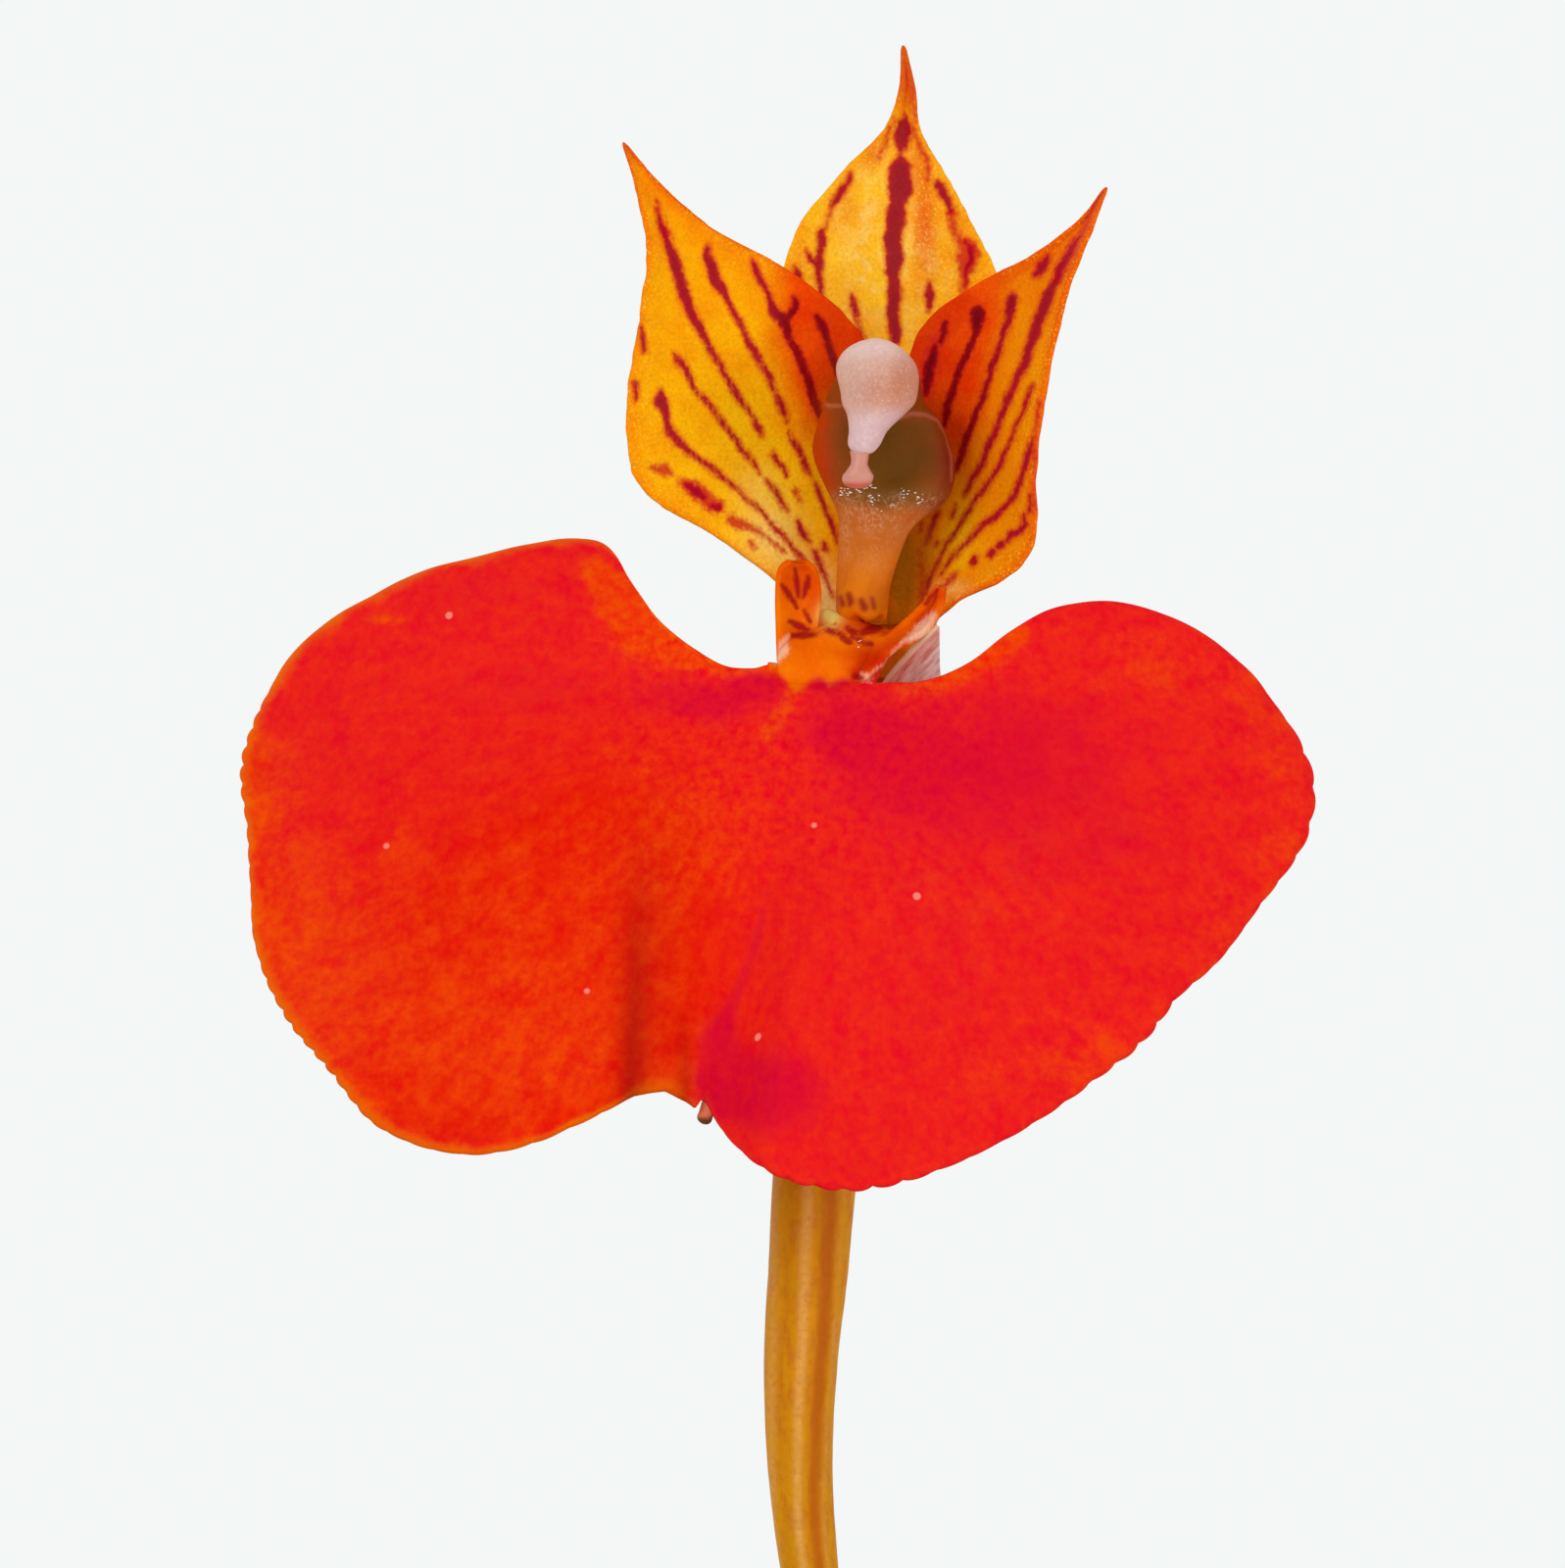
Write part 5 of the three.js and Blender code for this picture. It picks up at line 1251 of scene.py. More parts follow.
CLAW_MARKS = [
    [(811, 581, 3), (813, 592, 6), (815, 609, 4)], [(825, 588, 3), (823, 598, 6), (820, 609, 3)],
    [(797, 597, 3), (805, 608, 6), (813, 620, 4)], [(821, 623, 3), (827, 634, 4)],
    [(806, 634, 5), (815, 638, 8), (825, 643, 4)], [(809, 649, 5), (818, 648, 8), (833, 647, 4)],
    [(843, 643, 5), (849, 646, 7)], [(855, 645, 5), (862, 652, 8), (868, 656, 4)],
    [(865, 640, 5), (872, 646, 7)], [(880, 646, 6), (890, 643, 11), (899, 637, 7)],
    [(872, 690, 6), (878, 692, 6)], [(876, 654, 5), (888, 658, 6)], [(944, 616, 4), (956, 602, 4)],
    [(870, 650, 5), (878, 652, 5)],
]


def saddle(s, t):
    """The claw's bend: it comes forward as a bell along it, with a low crest, bumps and hollows."""
    crest = 0.2 * bell((s - 0.4) / 0.25) * bell((t - 0.32) / 0.12) + 0.05 * wobble(s * 3, t, 41)
    forward = 0.3 * np.sin(math.pi * s) * bell((t - 0.6) / 0.22)
    flat = spline(CLAW_LEFT, t) + (spline(CLAW_RIGHT, t) - spline(CLAW_LEFT, t)) * s[..., None]
    pixels = seen(flat + FLOWER)
    forward = forward + patches(pixels, CLAW_BUMPS) - patches(pixels, CLAW_HOLLOWS)
    return np.stack([0 * s, -forward, crest], axis=-1)


def rolled(direction):
    """An ear's bend: its middle goes backwards and to one side, as a sine across it."""
    def hollow(s, t):
        roll = 0.45 * np.sin(math.pi * s) * np.sin(math.pi * (0.15 + t * 0.6))
        return np.stack([direction * 0.1 * np.sin(math.pi * s), roll, 0 * s], axis=-1)
    return hollow


def claw_and_ears():
    """The claw is a saddle that comes forward from under the column and runs down onto the blade; each ear
    is a thin sheet whose rim rolls over."""
    parts = [(CLAW_LEFT, CLAW_RIGHT, saddle, 0.4), (LEFT_EAR_OUTER, LEFT_EAR_INNER, rolled(-1), 0.3),
             (RIGHT_EAR_INNER, RIGHT_EAR_OUTER, rolled(1), 0.34)]
    skins = []
    for left, right, hollow, thickness in parts:
        rings, _, t, _ = sheet(between(left, right, hollow), thickness, rows=70, cells=40)
        values = lip_values(rings + FLOWER)
        values["claw"] = np.maximum(values["claw"], 1 - ramp(t, 0.6, 0.75)) if hollow is saddle else 1
        skins.append(Skin(rings + FLOWER, margin=0, fold=0, withered=0, **values))
    return skins


def notch_point():
    """The short fleshy point in the notch of the blade, a hooked tube that withers at its end."""
    rows, around = 30, 16
    path = even_route(NOTCH_POINT, rows) + FLOWER
    radius = np.linspace(0.2, 0.27, rows) * rounded_ends(rows, 0.2)
    rings = tube(path, radius[:, None], around)
    down = FLOWER[2] - rings[..., 2]
    return Skin(rings, withered=np.clip(0.35 + 0.8 * ramp(down, 15.5, 16.1), 0, 1))


def lip():
    """The lip's blade, claw, ears and the point in its notch, one piece."""
    stand_for(build("lip_skin", [lip_blade(), *claw_and_ears(), notch_point()], [LIP]), "lip")


# Column, anther cap and pollinarium, each a stack of ovals: x, y, z of the middle, half width, half depth

COLUMN_ROWS = [
    (0.4, 0.7, 0.58, 0.3, 0.3), (0.38, 0.7, 0.66, 0.7, 0.6), (0.32, 0.7, 0.98, 0.87, 0.8),
    (0.39, 0.7, 1.9, 0.93, 0.9), (0.67, 0.6, 3.3, 1.13, 1.05), (0.9, 0.5, 3.9, 1.35, 1.15),
    (1.18, 0.5, 4.4, 1.78, 1.3), (1.24, 0.5, 4.9, 2.08, 1.45), (1.12, 0.5, 5.7, 2.32, 1.6),
    (0.96, 0.5, 6.4, 2.3, 1.65), (0.9, 0.5, 7.2, 2.04, 1.6), (0.75, 0.5, 7.9, 1.66, 1.5),
    (0.82, 0.4, 8.7, 1.4, 1.3), (0.85, 0.3, 9.2, 0.9, 0.9), (0.85, 0.3, 9.4, 0.3, 0.4),
]
STIGMA = ((1.2, 6.1), (2.2, 1.7), 0.6)  # middle x and z, half width and half height, depth
COLUMN_COUNT, COLUMN_AROUND = 190, 180
HOOD_RIM = [
    [(918, 427, 2), (930, 422, 3), (944, 423, 3), (957, 429, 3), (965, 442, 3), (971, 466, 2),
     (971, 490, 2)],
    [(838, 410, 2), (846, 414, 3), (858, 414, 2)],
]
# Painted glow: where light through the column's thin flanks shows red, brighter on the left
LEFT_FLANK = [(834, 470, 16, 34, 1.0), (846, 500, 14, 14, 0.6), (838, 428, 10, 14, 0.6)]
RIGHT_FLANK = [(970, 466, 14, 40, 0.9), (955, 512, 18, 12, 0.7)]
WET_BAND = [(906, 506, 52, 12, 1.0)]
COLUMN_MARKS = [
    [(858, 610, 3), (860, 616, 5)], [(866, 607, 5), (868, 613, 7), (867, 617, 4)],
    [(879, 613, 5), (882, 620, 7)], [(890, 611, 3), (892, 620, 4)],
]
CAP_ROWS = [
    (0.33, -2.2, 6.03, 0.1, 0.1), (0.33, -2.2, 6.1, 0.34, 0.33), (0.36, -2.15, 6.37, 0.55, 0.55),
    (0.49, -2.1, 6.82, 0.66, 0.75), (0.71, -2.0, 7.32, 0.93, 0.9), (0.83, -1.9, 7.72, 1.19, 1.0),
    (0.86, -1.8, 8.12, 1.27, 1.1), (0.82, -1.7, 8.71, 1.34, 1.22), (0.77, -1.6, 9.11, 1.27, 1.2),
    (0.72, -1.5, 9.51, 0.98, 0.98), (0.74, -1.4, 9.8, 0.55, 0.6), (0.76, -1.35, 9.93, 0.1, 0.1),
]
POLLINARIUM_ROWS = [
    (0.15, -2.3, 4.9, 0.1, 0.08), (0.15, -2.3, 4.94, 0.3, 0.22), (0.14, -2.3, 5.08, 0.47, 0.32),
    (0.16, -2.3, 5.3, 0.52, 0.36), (0.18, -2.3, 5.5, 0.4, 0.33), (0.2, -2.3, 5.7, 0.29, 0.27),
    (0.22, -2.25, 5.9, 0.29, 0.28), (0.22, -2.2, 6.15, 0.31, 0.28), (0.22, -2.2, 6.2, 0.1, 0.1),
]


def ovals(rows, count, around):
    """Rings along a spline through a table of ovals, and the height and angle of their points."""
    table = spline(rows, np.linspace(0, 1, count))
    angle = np.linspace(0, TAU, around, endpoint=False)
    x = table[:, 0:1] + np.cos(angle) * np.maximum(table[:, 3:4], 0.03)
    y = table[:, 1:2] + np.sin(angle) * np.maximum(table[:, 4:5], 0.03)
    z = np.broadcast_to(table[:, 2:3], x.shape)
    return np.stack([x, y, z], axis=-1), z, np.broadcast_to(angle, x.shape)


def column():
    """The column's ovals, pressed in at the front to an oval bowl, the stigma, and waved at the foot."""
    rings, z, angle = ovals(COLUMN_ROWS, COLUMN_COUNT, COLUMN_AROUND)
    (mid_x, mid_z), (wide, high), depth = STIGMA
    out = np.hypot((rings[..., 0] - mid_x) / wide, (rings[..., 2] - mid_z) / high)
    front = ramp(-np.sin(angle), -0.1, 0.3)
    rings[..., 1] += depth * ramp(1.05 - out, 0.0, 0.7) * front
    rings[..., 2] += 0.1 * np.cos(angle * 4 - 4.2) * ramp(-z, -1.2, -0.7)
    rings = rings + FLOWER
    pixels = seen(rings)
    lower_front = ramp(-np.sin(angle), -0.2, 0.4) * ramp(z, 1.6, 3.4) * (1 - ramp(z, 4.6, 5.0))
    skin = Skin(
        rings,
        pit=ramp(1.32 - out, 0.0, 0.9) * front,
        rim=ramp(ink(pixels, HOOD_RIM), -0.06, 0.02),
        hood=ramp(z, 4.2, 5.4),
        left_flank=patches(pixels, LEFT_FLANK),
        right_flank=patches(pixels, RIGHT_FLANK),
        wet=patches(pixels, WET_BAND),
        low=1 - ramp(z, 1.4, 4.0),
        # where the painted glow lies
        lit_edge=0.7 * (1 - ramp(z, 0.65, 1.15)),
        frost=lower_front,
        stripe=ink(pixels, COLUMN_MARKS),
    )
    stand_for(build("column_skin", [skin], [COLUMN]), "column")


def anther_cap():
    """The cap's ovals with a low ridge down the front, and slightly uneven."""
    rings, z, angle = ovals(CAP_ROWS, 120, 96)
    ridge = bell((angle - 1.5 * math.pi) / 0.35)
    rings[..., 1] -= 0.12 * ridge * ramp(z, 6.4, 7.6) * (1 - ramp(z, 8.6, 9.6))
    rings[..., 0] += 0.04 * wobble(z / 3, angle / TAU * 2, 9)
    right = rings[..., 0]
    warm = 0.6 * bell((right - 1.1) / 1.2) * bell((z - 8.0) / 0.9)
    warm = warm + 0.5 * bell((right - 1.8) / 0.6) * bell((z - 8.7) / 0.9)
    warm = warm + 0.08 * wobble(right * 2, z * 0.2, 14) * bell((z - 8.3) / 1.0)
    skin = Skin(rings + FLOWER, warm=warm, beak=1 - ramp(z, 6.9, 7.8), crown=ramp(z, 8.9, 9.7))
    stand_for(build("anther_cap_skin", [skin], [ANTHER]), "anther_cap")


def pollinarium():
    """A short stalk on a round sticky pad with a thickened rim."""
    rings, z, _ = ovals(POLLINARIUM_ROWS, 60, 48)
    skin = Skin(rings + FLOWER, rim=bell((z - 5.0) / 0.1) * 0.9)
    stand_for(build("pollinarium_skin", [skin], [POLLEN]), "pollinarium")


# Clusters of white beads as painted highlights on wet places, each a middle in the photograph's pixels,
# half width, half height and number of beads
DROPS = [
    (862, 502, 7, 4, 16), (876, 504, 3, 5, 4), (890, 510, 6, 5, 16), (889, 497, 7, 2, 8),
    (922, 504, 7, 4, 12), (937, 511, 8, 4, 10), (912, 516, 16, 6, 6), (878, 655, 2, 1, 3),
    (876, 662, 1, 1, 1), (819, 634, 1, 1, 1),
]
BEAD_ON_COLUMN, BEAD_ON_CLAW = -0.8, -2.0  # y of a bead, in front of the flower's middle


def drops():
    """Small white beads as painted highlights on the wet places: balls drawn out sideways and scattered in
    clusters on the column and the claw.
    """
    up = np.linspace(0, math.pi, 7)[:, None]
    turn = np.linspace(0, TAU, 10, endpoint=False)[None]
    ball = np.stack([np.sin(up) * np.cos(turn), np.sin(up) * np.sin(turn), np.cos(up) + 0 * turn], axis=-1)
    draw = np.random.default_rng(5)
    skins = []
    for x, y, wide, high, count in DROPS:
        for _ in range(count):
            across = (x + wide * draw.normal() * 0.6 - FLOWER_PIXEL[0]) / PIXELS_PER_MM
            height = (FLOWER_PIXEL[1] - y - high * draw.normal() * 0.6) / PIXELS_PER_MM
            depth = BEAD_ON_COLUMN if height > 1 else BEAD_ON_CLAW
            size = draw.uniform(0.01, 0.03) * np.array([draw.uniform(1, 2.4), 0.8, 0.8])
            skins.append(Skin(FLOWER + np.array([across, depth, height]) + ball * size))
    piece = build("wet_drop_highlights", skins, [DROP_HIGHLIGHT])


# Ovary and stem

NODE_ON_STEM = (-1.5, 16.1, -12.0)
OVARY_ROUTE = [
    NODE_ON_STEM, (-1.4, 13.5, -10.6), (-0.8, 10.0, -7.4), (0.0, 7.0, -3.6), (0.55, 5.1, -0.8),
    (0.7, 4.2, 0.3),
]


def ovary():
    """Stalk and ovary: a tube that thickens towards the flower, with six low ribs twisting along it."""
    rows, around = 150, 60
    path = even_route(OVARY_ROUTE, rows) + FLOWER
    t, angle = ring_places(rows, around)
    crest = 0.5 + 0.5 * np.cos(6 * angle + 1.5 * t)
    ribbed = ramp(t, 0.2, 0.6)
    thick = 0.58 + 0.45 * np.clip(t * 1.6 - 0.5, 0, 1) + 0.12 * (crest - 0.5) * ribbed
    radius = thick * rounded_ends(rows, 0.02)[:, None]
    skin = Skin(tube(path, radius, around), crest=crest * ribbed, bloomward=ramp(t, 0.5, 1.0))
    stand_for(build("ovary_skin", [skin], [OVARY]), "ovary_and_stalk")


STEM_ROUTE = [
    (2.5, -9.4, 52), (2.4, -10, 62), (2.9, -9.6, 82), (3.6, -7.2, 106), (3.1, -3.6, 132),
    (1.9, -0.9, 152), (1.45, 0, 168), (1.45, 0.1, 180), (1.5, 0.5, 188.5), (1.7, 1.5, 193),
]
SHEATH_STARTS, SHEATH_LENGTH = (0.14, 0.4, 0.66), 0.095  # as shares of the stem's length
FLOWER_NODE = 0.948  # where the flower's stalk leaves, as a share of the stem's length
FINE_STEPS = 2000
BRACT_LEFT = [(0.3, -0.1, 186.2), (0.0, -1.4, 187.0), (0.2, -3.0, 187.7), (1.4, -4.6, 188.0)]
BRACT_RIGHT = [(2.7, -0.1, 186.2), (3.0, -1.4, 187.0), (2.8, -3.0, 187.7), (1.6, -4.6, 188.0)]


def stem_radius(t):
    """Half the stem's thickness in millimetres at t along it."""
    return 1.15 - 0.4 * t


def folded_wall(steps, outer, inner):
    """A sheath's wall, folded back on itself at its mouth: how far up it each ring lies, from 0 to 1 and
    back, and its distance from what it clasps, which is outer on the way up and inner on the way down."""
    go = np.concatenate([np.linspace(0, 1, steps), np.linspace(1, 0, steps)])[:, None]
    wall = np.concatenate([np.full(steps, outer), np.full(steps, inner)])[:, None]
    return go, wall


def stem_sheath(fine, number, start, angle):
    """A papery sheath at a node of the stem: a tube along the stem's fine route with an oblique, pointed
    mouth, which opens as the square of the way up."""
    go, wall = folded_wall(44, 0.3, 0.12)
    point = 0.62 + 0.38 * np.cos(angle - 1.2 - number * 2.6) + 0 * go
    place = (start + SHEATH_LENGTH * go * point) * FINE_STEPS
    index = np.clip(place.astype(int), 0, FINE_STEPS - 1)
    centre = fine[index] + (fine[index + 1] - fine[index]) * (place - index)[..., None]
    loose = 0.35 * go**2 + 0.05 * np.sin(6 * angle) * go
    reach = stem_radius(start) + np.clip(wall * np.minimum(1, 8 * go), 0.02, 1) + loose
    first = int(start * FINE_STEPS)
    ring = tube(fine[first:first + 2], 1.0, angle.size)[0]
    spokes = unit(ring - ring.mean(axis=0))
    return Skin(centre + spokes[None] * reach[..., None], slot=1, rim=ramp(go + 0 * angle, 0.7, 1.0))


def bract():
    """The dry bract under the flower's stalk: a thin sheet that clasps the stem and ends in a point."""
    def clasp(s, t):
        return np.stack([0 * s, 0 * s, -0.9 * np.sin(math.pi * s) * (1 - t)], axis=-1)

    rings, _, t, _ = sheet(between(BRACT_LEFT, BRACT_RIGHT, clasp), thickness=0.3, rows=40, cells=24)
    return Skin(rings, slot=1, rim=ramp(t, 0.7, 1.0))


def stem():
    """The wiry stem: a tube that tapers, with a low ring at each node, its sheaths and its bract."""
    rows, around = 320, 32
    t, angle = ring_places(rows, around)
    nodes = sum(0.16 * bell((t - start + 0.004) / 0.006) for start in (*SHEATH_STARTS, FLOWER_NODE))
    thick = stem_radius(t) + nodes + 0.03 * wobble(t * 20, angle / TAU * 2, 6)
    radius = thick * rounded_ends(rows, 0.005)[:, None]
    fine = even_route(STEM_ROUTE, FINE_STEPS + 1)
    skins = [Skin(tube(even_route(STEM_ROUTE, rows), radius, around), rim=0)]
    skins += [stem_sheath(fine, number, start, angle) for number, start in enumerate(SHEATH_STARTS)]
    stand_for(build("flower_stem_skin", [*skins, bract()], [STEM, HUSK]), "flower_stem")


# Pseudobulbs

BULBS = {  # node: foot, height, half width, half depth, lean in degrees
    "pseudobulb_newest": ((8, -3, 57), 23, 6.4, 4.6, 5),
    "pseudobulb_middle": ((-2, 2, 57), 20, 6.0, 4.4, -4),
    "pseudobulb_oldest": ((-11, 7, 57), 17, 5.4, 4.0, -14),
}
BULB_PROFILE = [0.62, 0.9, 1.0, 0.97, 0.84, 0.62, 0.36]
BULB_SHEATHS = (0.34, 0.62)  # how far up each sheath reaches, as a share of the bulb's height


def pseudobulb(node, foot, height, half_width, half_depth, lean, seed):
    """A flattened, pear-shaped body with eight lengthwise furrows, and two torn papery sheaths round its
    foot: thin collars that follow the body's outline and end in a ragged, pointed edge."""
    rows, around = 72, 96
    t, angle = ring_places(rows, around)
    tilt = math.sin(math.radians(lean)) * height

    def furrows(t):
        return (0.5 - 0.5 * np.cos(8 * angle + 0.5)) ** 2 * np.sin(math.pi * t)

    def outline(t, grow):
        share = eased(BULB_PROFILE, t)
        groove = 1 - 0.06 * furrows(t)
        x = foot[0] + np.cos(angle) * (half_width * share * groove + grow) + tilt * t
        y = foot[1] + np.sin(angle) * (half_depth * share * groove + grow)
        return np.stack([x, y + 0 * x, foot[2] + height * t + 0 * x], axis=-1)

    ends = (rounded_ends(rows, 0.03)[:, None] - 1) * 1.5
    body = outline(t, ends + 0.05 * wobble(t * 3, angle / TAU * 3, seed))
    flush = 0.6 * np.cos(angle + 0.8) + 0.5 * t
    skins = [Skin(body, furrow=furrows(t), flush=flush, rim=0)]
    for number, tall in enumerate(BULB_SHEATHS):
        go, wall = folded_wall(26, 0.42, 0.16)
        torn = 0.08 * wobble(angle * 1.4, 0 * angle + number, seed)
        ragged = tall * (0.55 + 0.45 * np.cos(angle - 2.0 * number - seed) + torn)
        loose = 0.5 * go**3 + 0.12 * wobble(angle / TAU * 5, go * 1.5, seed + number) * go
        apart = wall + 0.2 * (1 - number) + loose
        collar = outline(np.clip(go * np.maximum(ragged, 0.05), 0, 1), apart)
        skins.append(Skin(collar, slot=1, rim=ramp(go + 0 * angle, 0.6, 1.0)))
    stand_for(build(node + "_skin", skins, [BULB, HUSK]), node)


# Leaves

def bulb_top(node):
    """The middle of a pseudobulb's top, where its leaf stands."""
    foot, height, _, _, lean = BULBS[node]
    return (foot[0] + math.sin(math.radians(lean)) * height, foot[1], foot[2] + height + 0.3)


LEAVES = {  # node: base, azimuth in degrees, reach, rise, droop, half width
    "leaf_newest": (bulb_top("pseudobulb_newest"), -18, 68, 46, 12, 12.5),
    "leaf_middle": (bulb_top("pseudobulb_middle"), 78, 46, 62, 9, 12),
    "leaf_oldest": (bulb_top("pseudobulb_oldest"), 192, 58, 42, 16, 10.5),
    "leaf_at_foot": ((-5.5, -2.6, 60.5), 236, 46, 34, 10, 8.5),
}
LEAF_THICKNESS = 0.9
LEAF_ROWS, LEAF_CELLS = 160, 44
LEAF_SEAT = 1.1  # how far a leaf's foot sits in the top of its pseudobulb


def leaf(node, base, azimuth, reach, rise, droop, half_width):
    """A leaf: its midrib rises from the base and bends over outwards. The blade stands out from it to both
    sides, folded steeply at the base and nearly flat beyond, and its rims wave a little."""
    turn = math.radians(azimuth)
    out = np.array([math.cos(turn), math.sin(turn), 0])
    sideways = np.array([-out[1], out[0], 0])
    steps = [(0, 0), (0.06, 0.3), (0.24, 0.68), (0.55, 0.98), (0.82, 1), (1, 1 - droop / rise)]
    knots = [np.array(base) + out * reach * share + np.array([0, 0, rise * height])
             for share, height in steps]
    knots[0] = knots[0] - np.array([0, 0, LEAF_SEAT])

    def surface(s, t):
        v = 2 * s - 1
        width = 2.2 * (1 - t) + half_width * np.sin(math.pi * np.clip(t, 0, 0.9999) ** 0.92) ** 0.85 + 0.25
        fold = 1.25 * (1 - t) ** 3 + 0.3
        small = 1e-3
        ahead = unit(spline(knots, np.minimum(t + small, 1)) - spline(knots, np.maximum(t - small, 0)))
        up = unit(np.cross(sideways, ahead))
        spread = width / np.hypot(1, fold)
        lift = np.abs(v) ** 1.15 * spread * fold + 0.35 * np.sin(9 * t + azimuth) * v * np.abs(v) * t
        lift = lift + 0.12 * wobble(s * 1.2, t * 2.2, int(azimuth) % 97) * np.sin(math.pi * t)
        return spline(knots, t) + sideways * (v * spread)[..., None] + up * lift[..., None]

    rings, s, _, side = sheet(surface, LEAF_THICKNESS, LEAF_ROWS, LEAF_CELLS)
    midrib = bell((s - 0.5) / 0.018)
    rim = ramp(np.abs(s - 0.5), 0.42, 0.5)
    skin = Skin(rings, across=s, midrib=midrib, rim=rim, under=ramp(-side, -0.2, 0.2))
    stand_for(build(node + "_skin", [skin], [LEAF]), node)


# Roots

POT_HEIGHT, POT_FLOOR, WALL = 60, 4, 3
RIM_RADIUS, FOOT_RADIUS = 37, 25.5
RIM_BAND, RIM_STEP = 13, 1.6  # the collar's height, and how far it stands out
GAP = 0.3  # what the solids leave between roots, bark and clay
ROOT_RADIUS = 1.1
RHIZOME_RADIUS, RHIZOME_SCARS = 2.25, 9
RHIZOME = [(-15, 9.5, 55.5), (-6, 4.5, 55), (3, -0.5, 55), (12, -5, 55.5)]
# Start x and y, angle in degrees, sway, and how far the root reaches inside the pot, or None over the rim
ROOTS = [
    ((-9, 4), 205, 3, None), ((9, -4), 318, -3, None), ((5, -3), 268, 4, 25), ((-5, 1), 236, -4, 22),
    ((8, -1), 14, 3, 19), ((2, 1), 66, -3, 22), ((-10, 7), 128, 3, 16),
]


def outer_radius(z):
    """The clay wall's outer radius at a height, below the collar."""
    return FOOT_RADIUS + (RIM_RADIUS - RIM_STEP - FOOT_RADIUS) * z / POT_HEIGHT


def inner_radius(z):
    """The clay wall's inner radius at a height."""
    return outer_radius(z) - WALL


def root_route(start, angle, sway, reach):
    """A root's points: it leaves the rhizome, sways over the bark and dives in, or crosses the pot's rim
    clear of the clay and hangs down outside."""
    out = np.array([math.cos(math.radians(angle)), math.sin(math.radians(angle))])
    length = RIM_RADIUS - math.hypot(*start) * 0.9 if reach is None else reach

    def at(share, height):
        bend = sway * math.sin(share * math.pi * 1.4)
        x = start[0] + out[0] * length * share - out[1] * bend
        y = start[1] + out[1] * length * share + out[0] * bend
        return (x, y, height)

    if reach is not None:
        return [at(0, 55.4), at(0.25, 58.2), at(0.55, 57.8), at(0.85, 56), at(1.05, 51)]
    over = POT_HEIGHT + ROOT_RADIUS + GAP + 0.3
    clear = RIM_RADIUS + ROOT_RADIUS + GAP + 0.4
    end = at(0.8, 0)
    bearing = math.atan2(end[1], end[0])

    def polar(radius, height, turn=0.0):
        return (math.cos(bearing + turn) * radius, math.sin(bearing + turn) * radius, height)

    return [
        at(0, 55.4), at(0.3, 58.6), at(0.6, 58.6), polar(inner_radius(POT_HEIGHT) - 4, over - 0.8),
        polar(RIM_RADIUS - 2, over + 1), polar(clear + 0.5, over - 2),
        polar(clear + 0.6, over - 13, 0.06), polar(clear - 1.2, over - 26, 0.02),
    ]


def roots():
    """The rhizome with its ring scars, and the roots, whose thickness wanders and closes at a green tip."""
    rows, around = 120, 36
    t, angle = ring_places(rows, around)
    scar = bell(np.mod(t * RHIZOME_SCARS, 1.0) / 0.12 - 3)
    thick = RHIZOME_RADIUS + 0.12 * scar + 0.08 * wobble(t * 6, angle / 3, 2)
    radius = thick * rounded_ends(rows, 0.06)[:, None]
    skins = [Skin(tube(even_route(RHIZOME, rows), radius, around), tip=0, scar=scar + 0 * angle)]
    for number, root in enumerate(ROOTS):
        hanging = 1.0 if root[3] is None else 0.0
        rows, around = (190 if hanging else 100), 22
        t, angle = ring_places(rows, around)
        thick = ROOT_RADIUS * (1 - 0.35 * t**4) * (1 + 0.05 * wobble(t * 7, angle / TAU, number))
        ends = np.sqrt(np.clip(1 - np.clip((t - 0.985) / 0.015, 0, 1) ** 2, 0.001, 1))
        skins.append(Skin(tube(even_route(root_route(*root), rows), thick * ends, around),
                          tip=hanging * ramp(t, 0.84, 0.93) + 0 * angle, scar=0))
    stand_for(build("roots_skin", skins, [ROOT]), "rhizome_and_roots")


# Bark bed

BARK_EDGE, BARK_CROWN, CHIPS = 53, 56.5, 170
CHIP_SIZE = (9.0, 5.6, 3.0)
GOLDEN_ANGLE = math.radians(137.508)  # the turn from one chip to the next in a sunflower's spiral


def bark_chip(draw, number):
    """A chip about the origin: a box with rounded corners, one end narrower, bent and roughened by seeded
    waves, and turned at random."""
    rows, around = 9, 12
    v = np.linspace(-1, 1, rows)[:, None]
    angle = np.linspace(0, TAU, around, endpoint=False)[None]
    size = np.array(CHIP_SIZE) * draw.uniform(0.6, 1.15, 3) / 2
    taper = 1 - draw.uniform(0.05, 0.45) * (v + 1) / 2
    close = np.sqrt(np.clip(1 - np.abs(v) ** 6, 0.02, 1))
    square = np.maximum(np.abs(np.cos(angle)), np.abs(np.sin(angle))) ** -0.75
    x = size[0] * v + 0 * angle
    y = size[1] * np.cos(angle) * square * taper * close
    z = size[2] * np.sin(angle) * square * close + draw.uniform(-0.5, 0.5) * v**2
    rough = 0.28 * wobble(v * 0.9 + number, angle / TAU * 2, number, 2)
    chip = np.stack([x + rough * 0.6, y + rough, z + rough * 0.7], axis=-1)
    tilt_x, tilt_y = draw.uniform(-0.42, 0.42, 2)
    heading = draw.uniform(0, TAU)
    return chip @ turned(tilt_x, tilt_y, heading).T


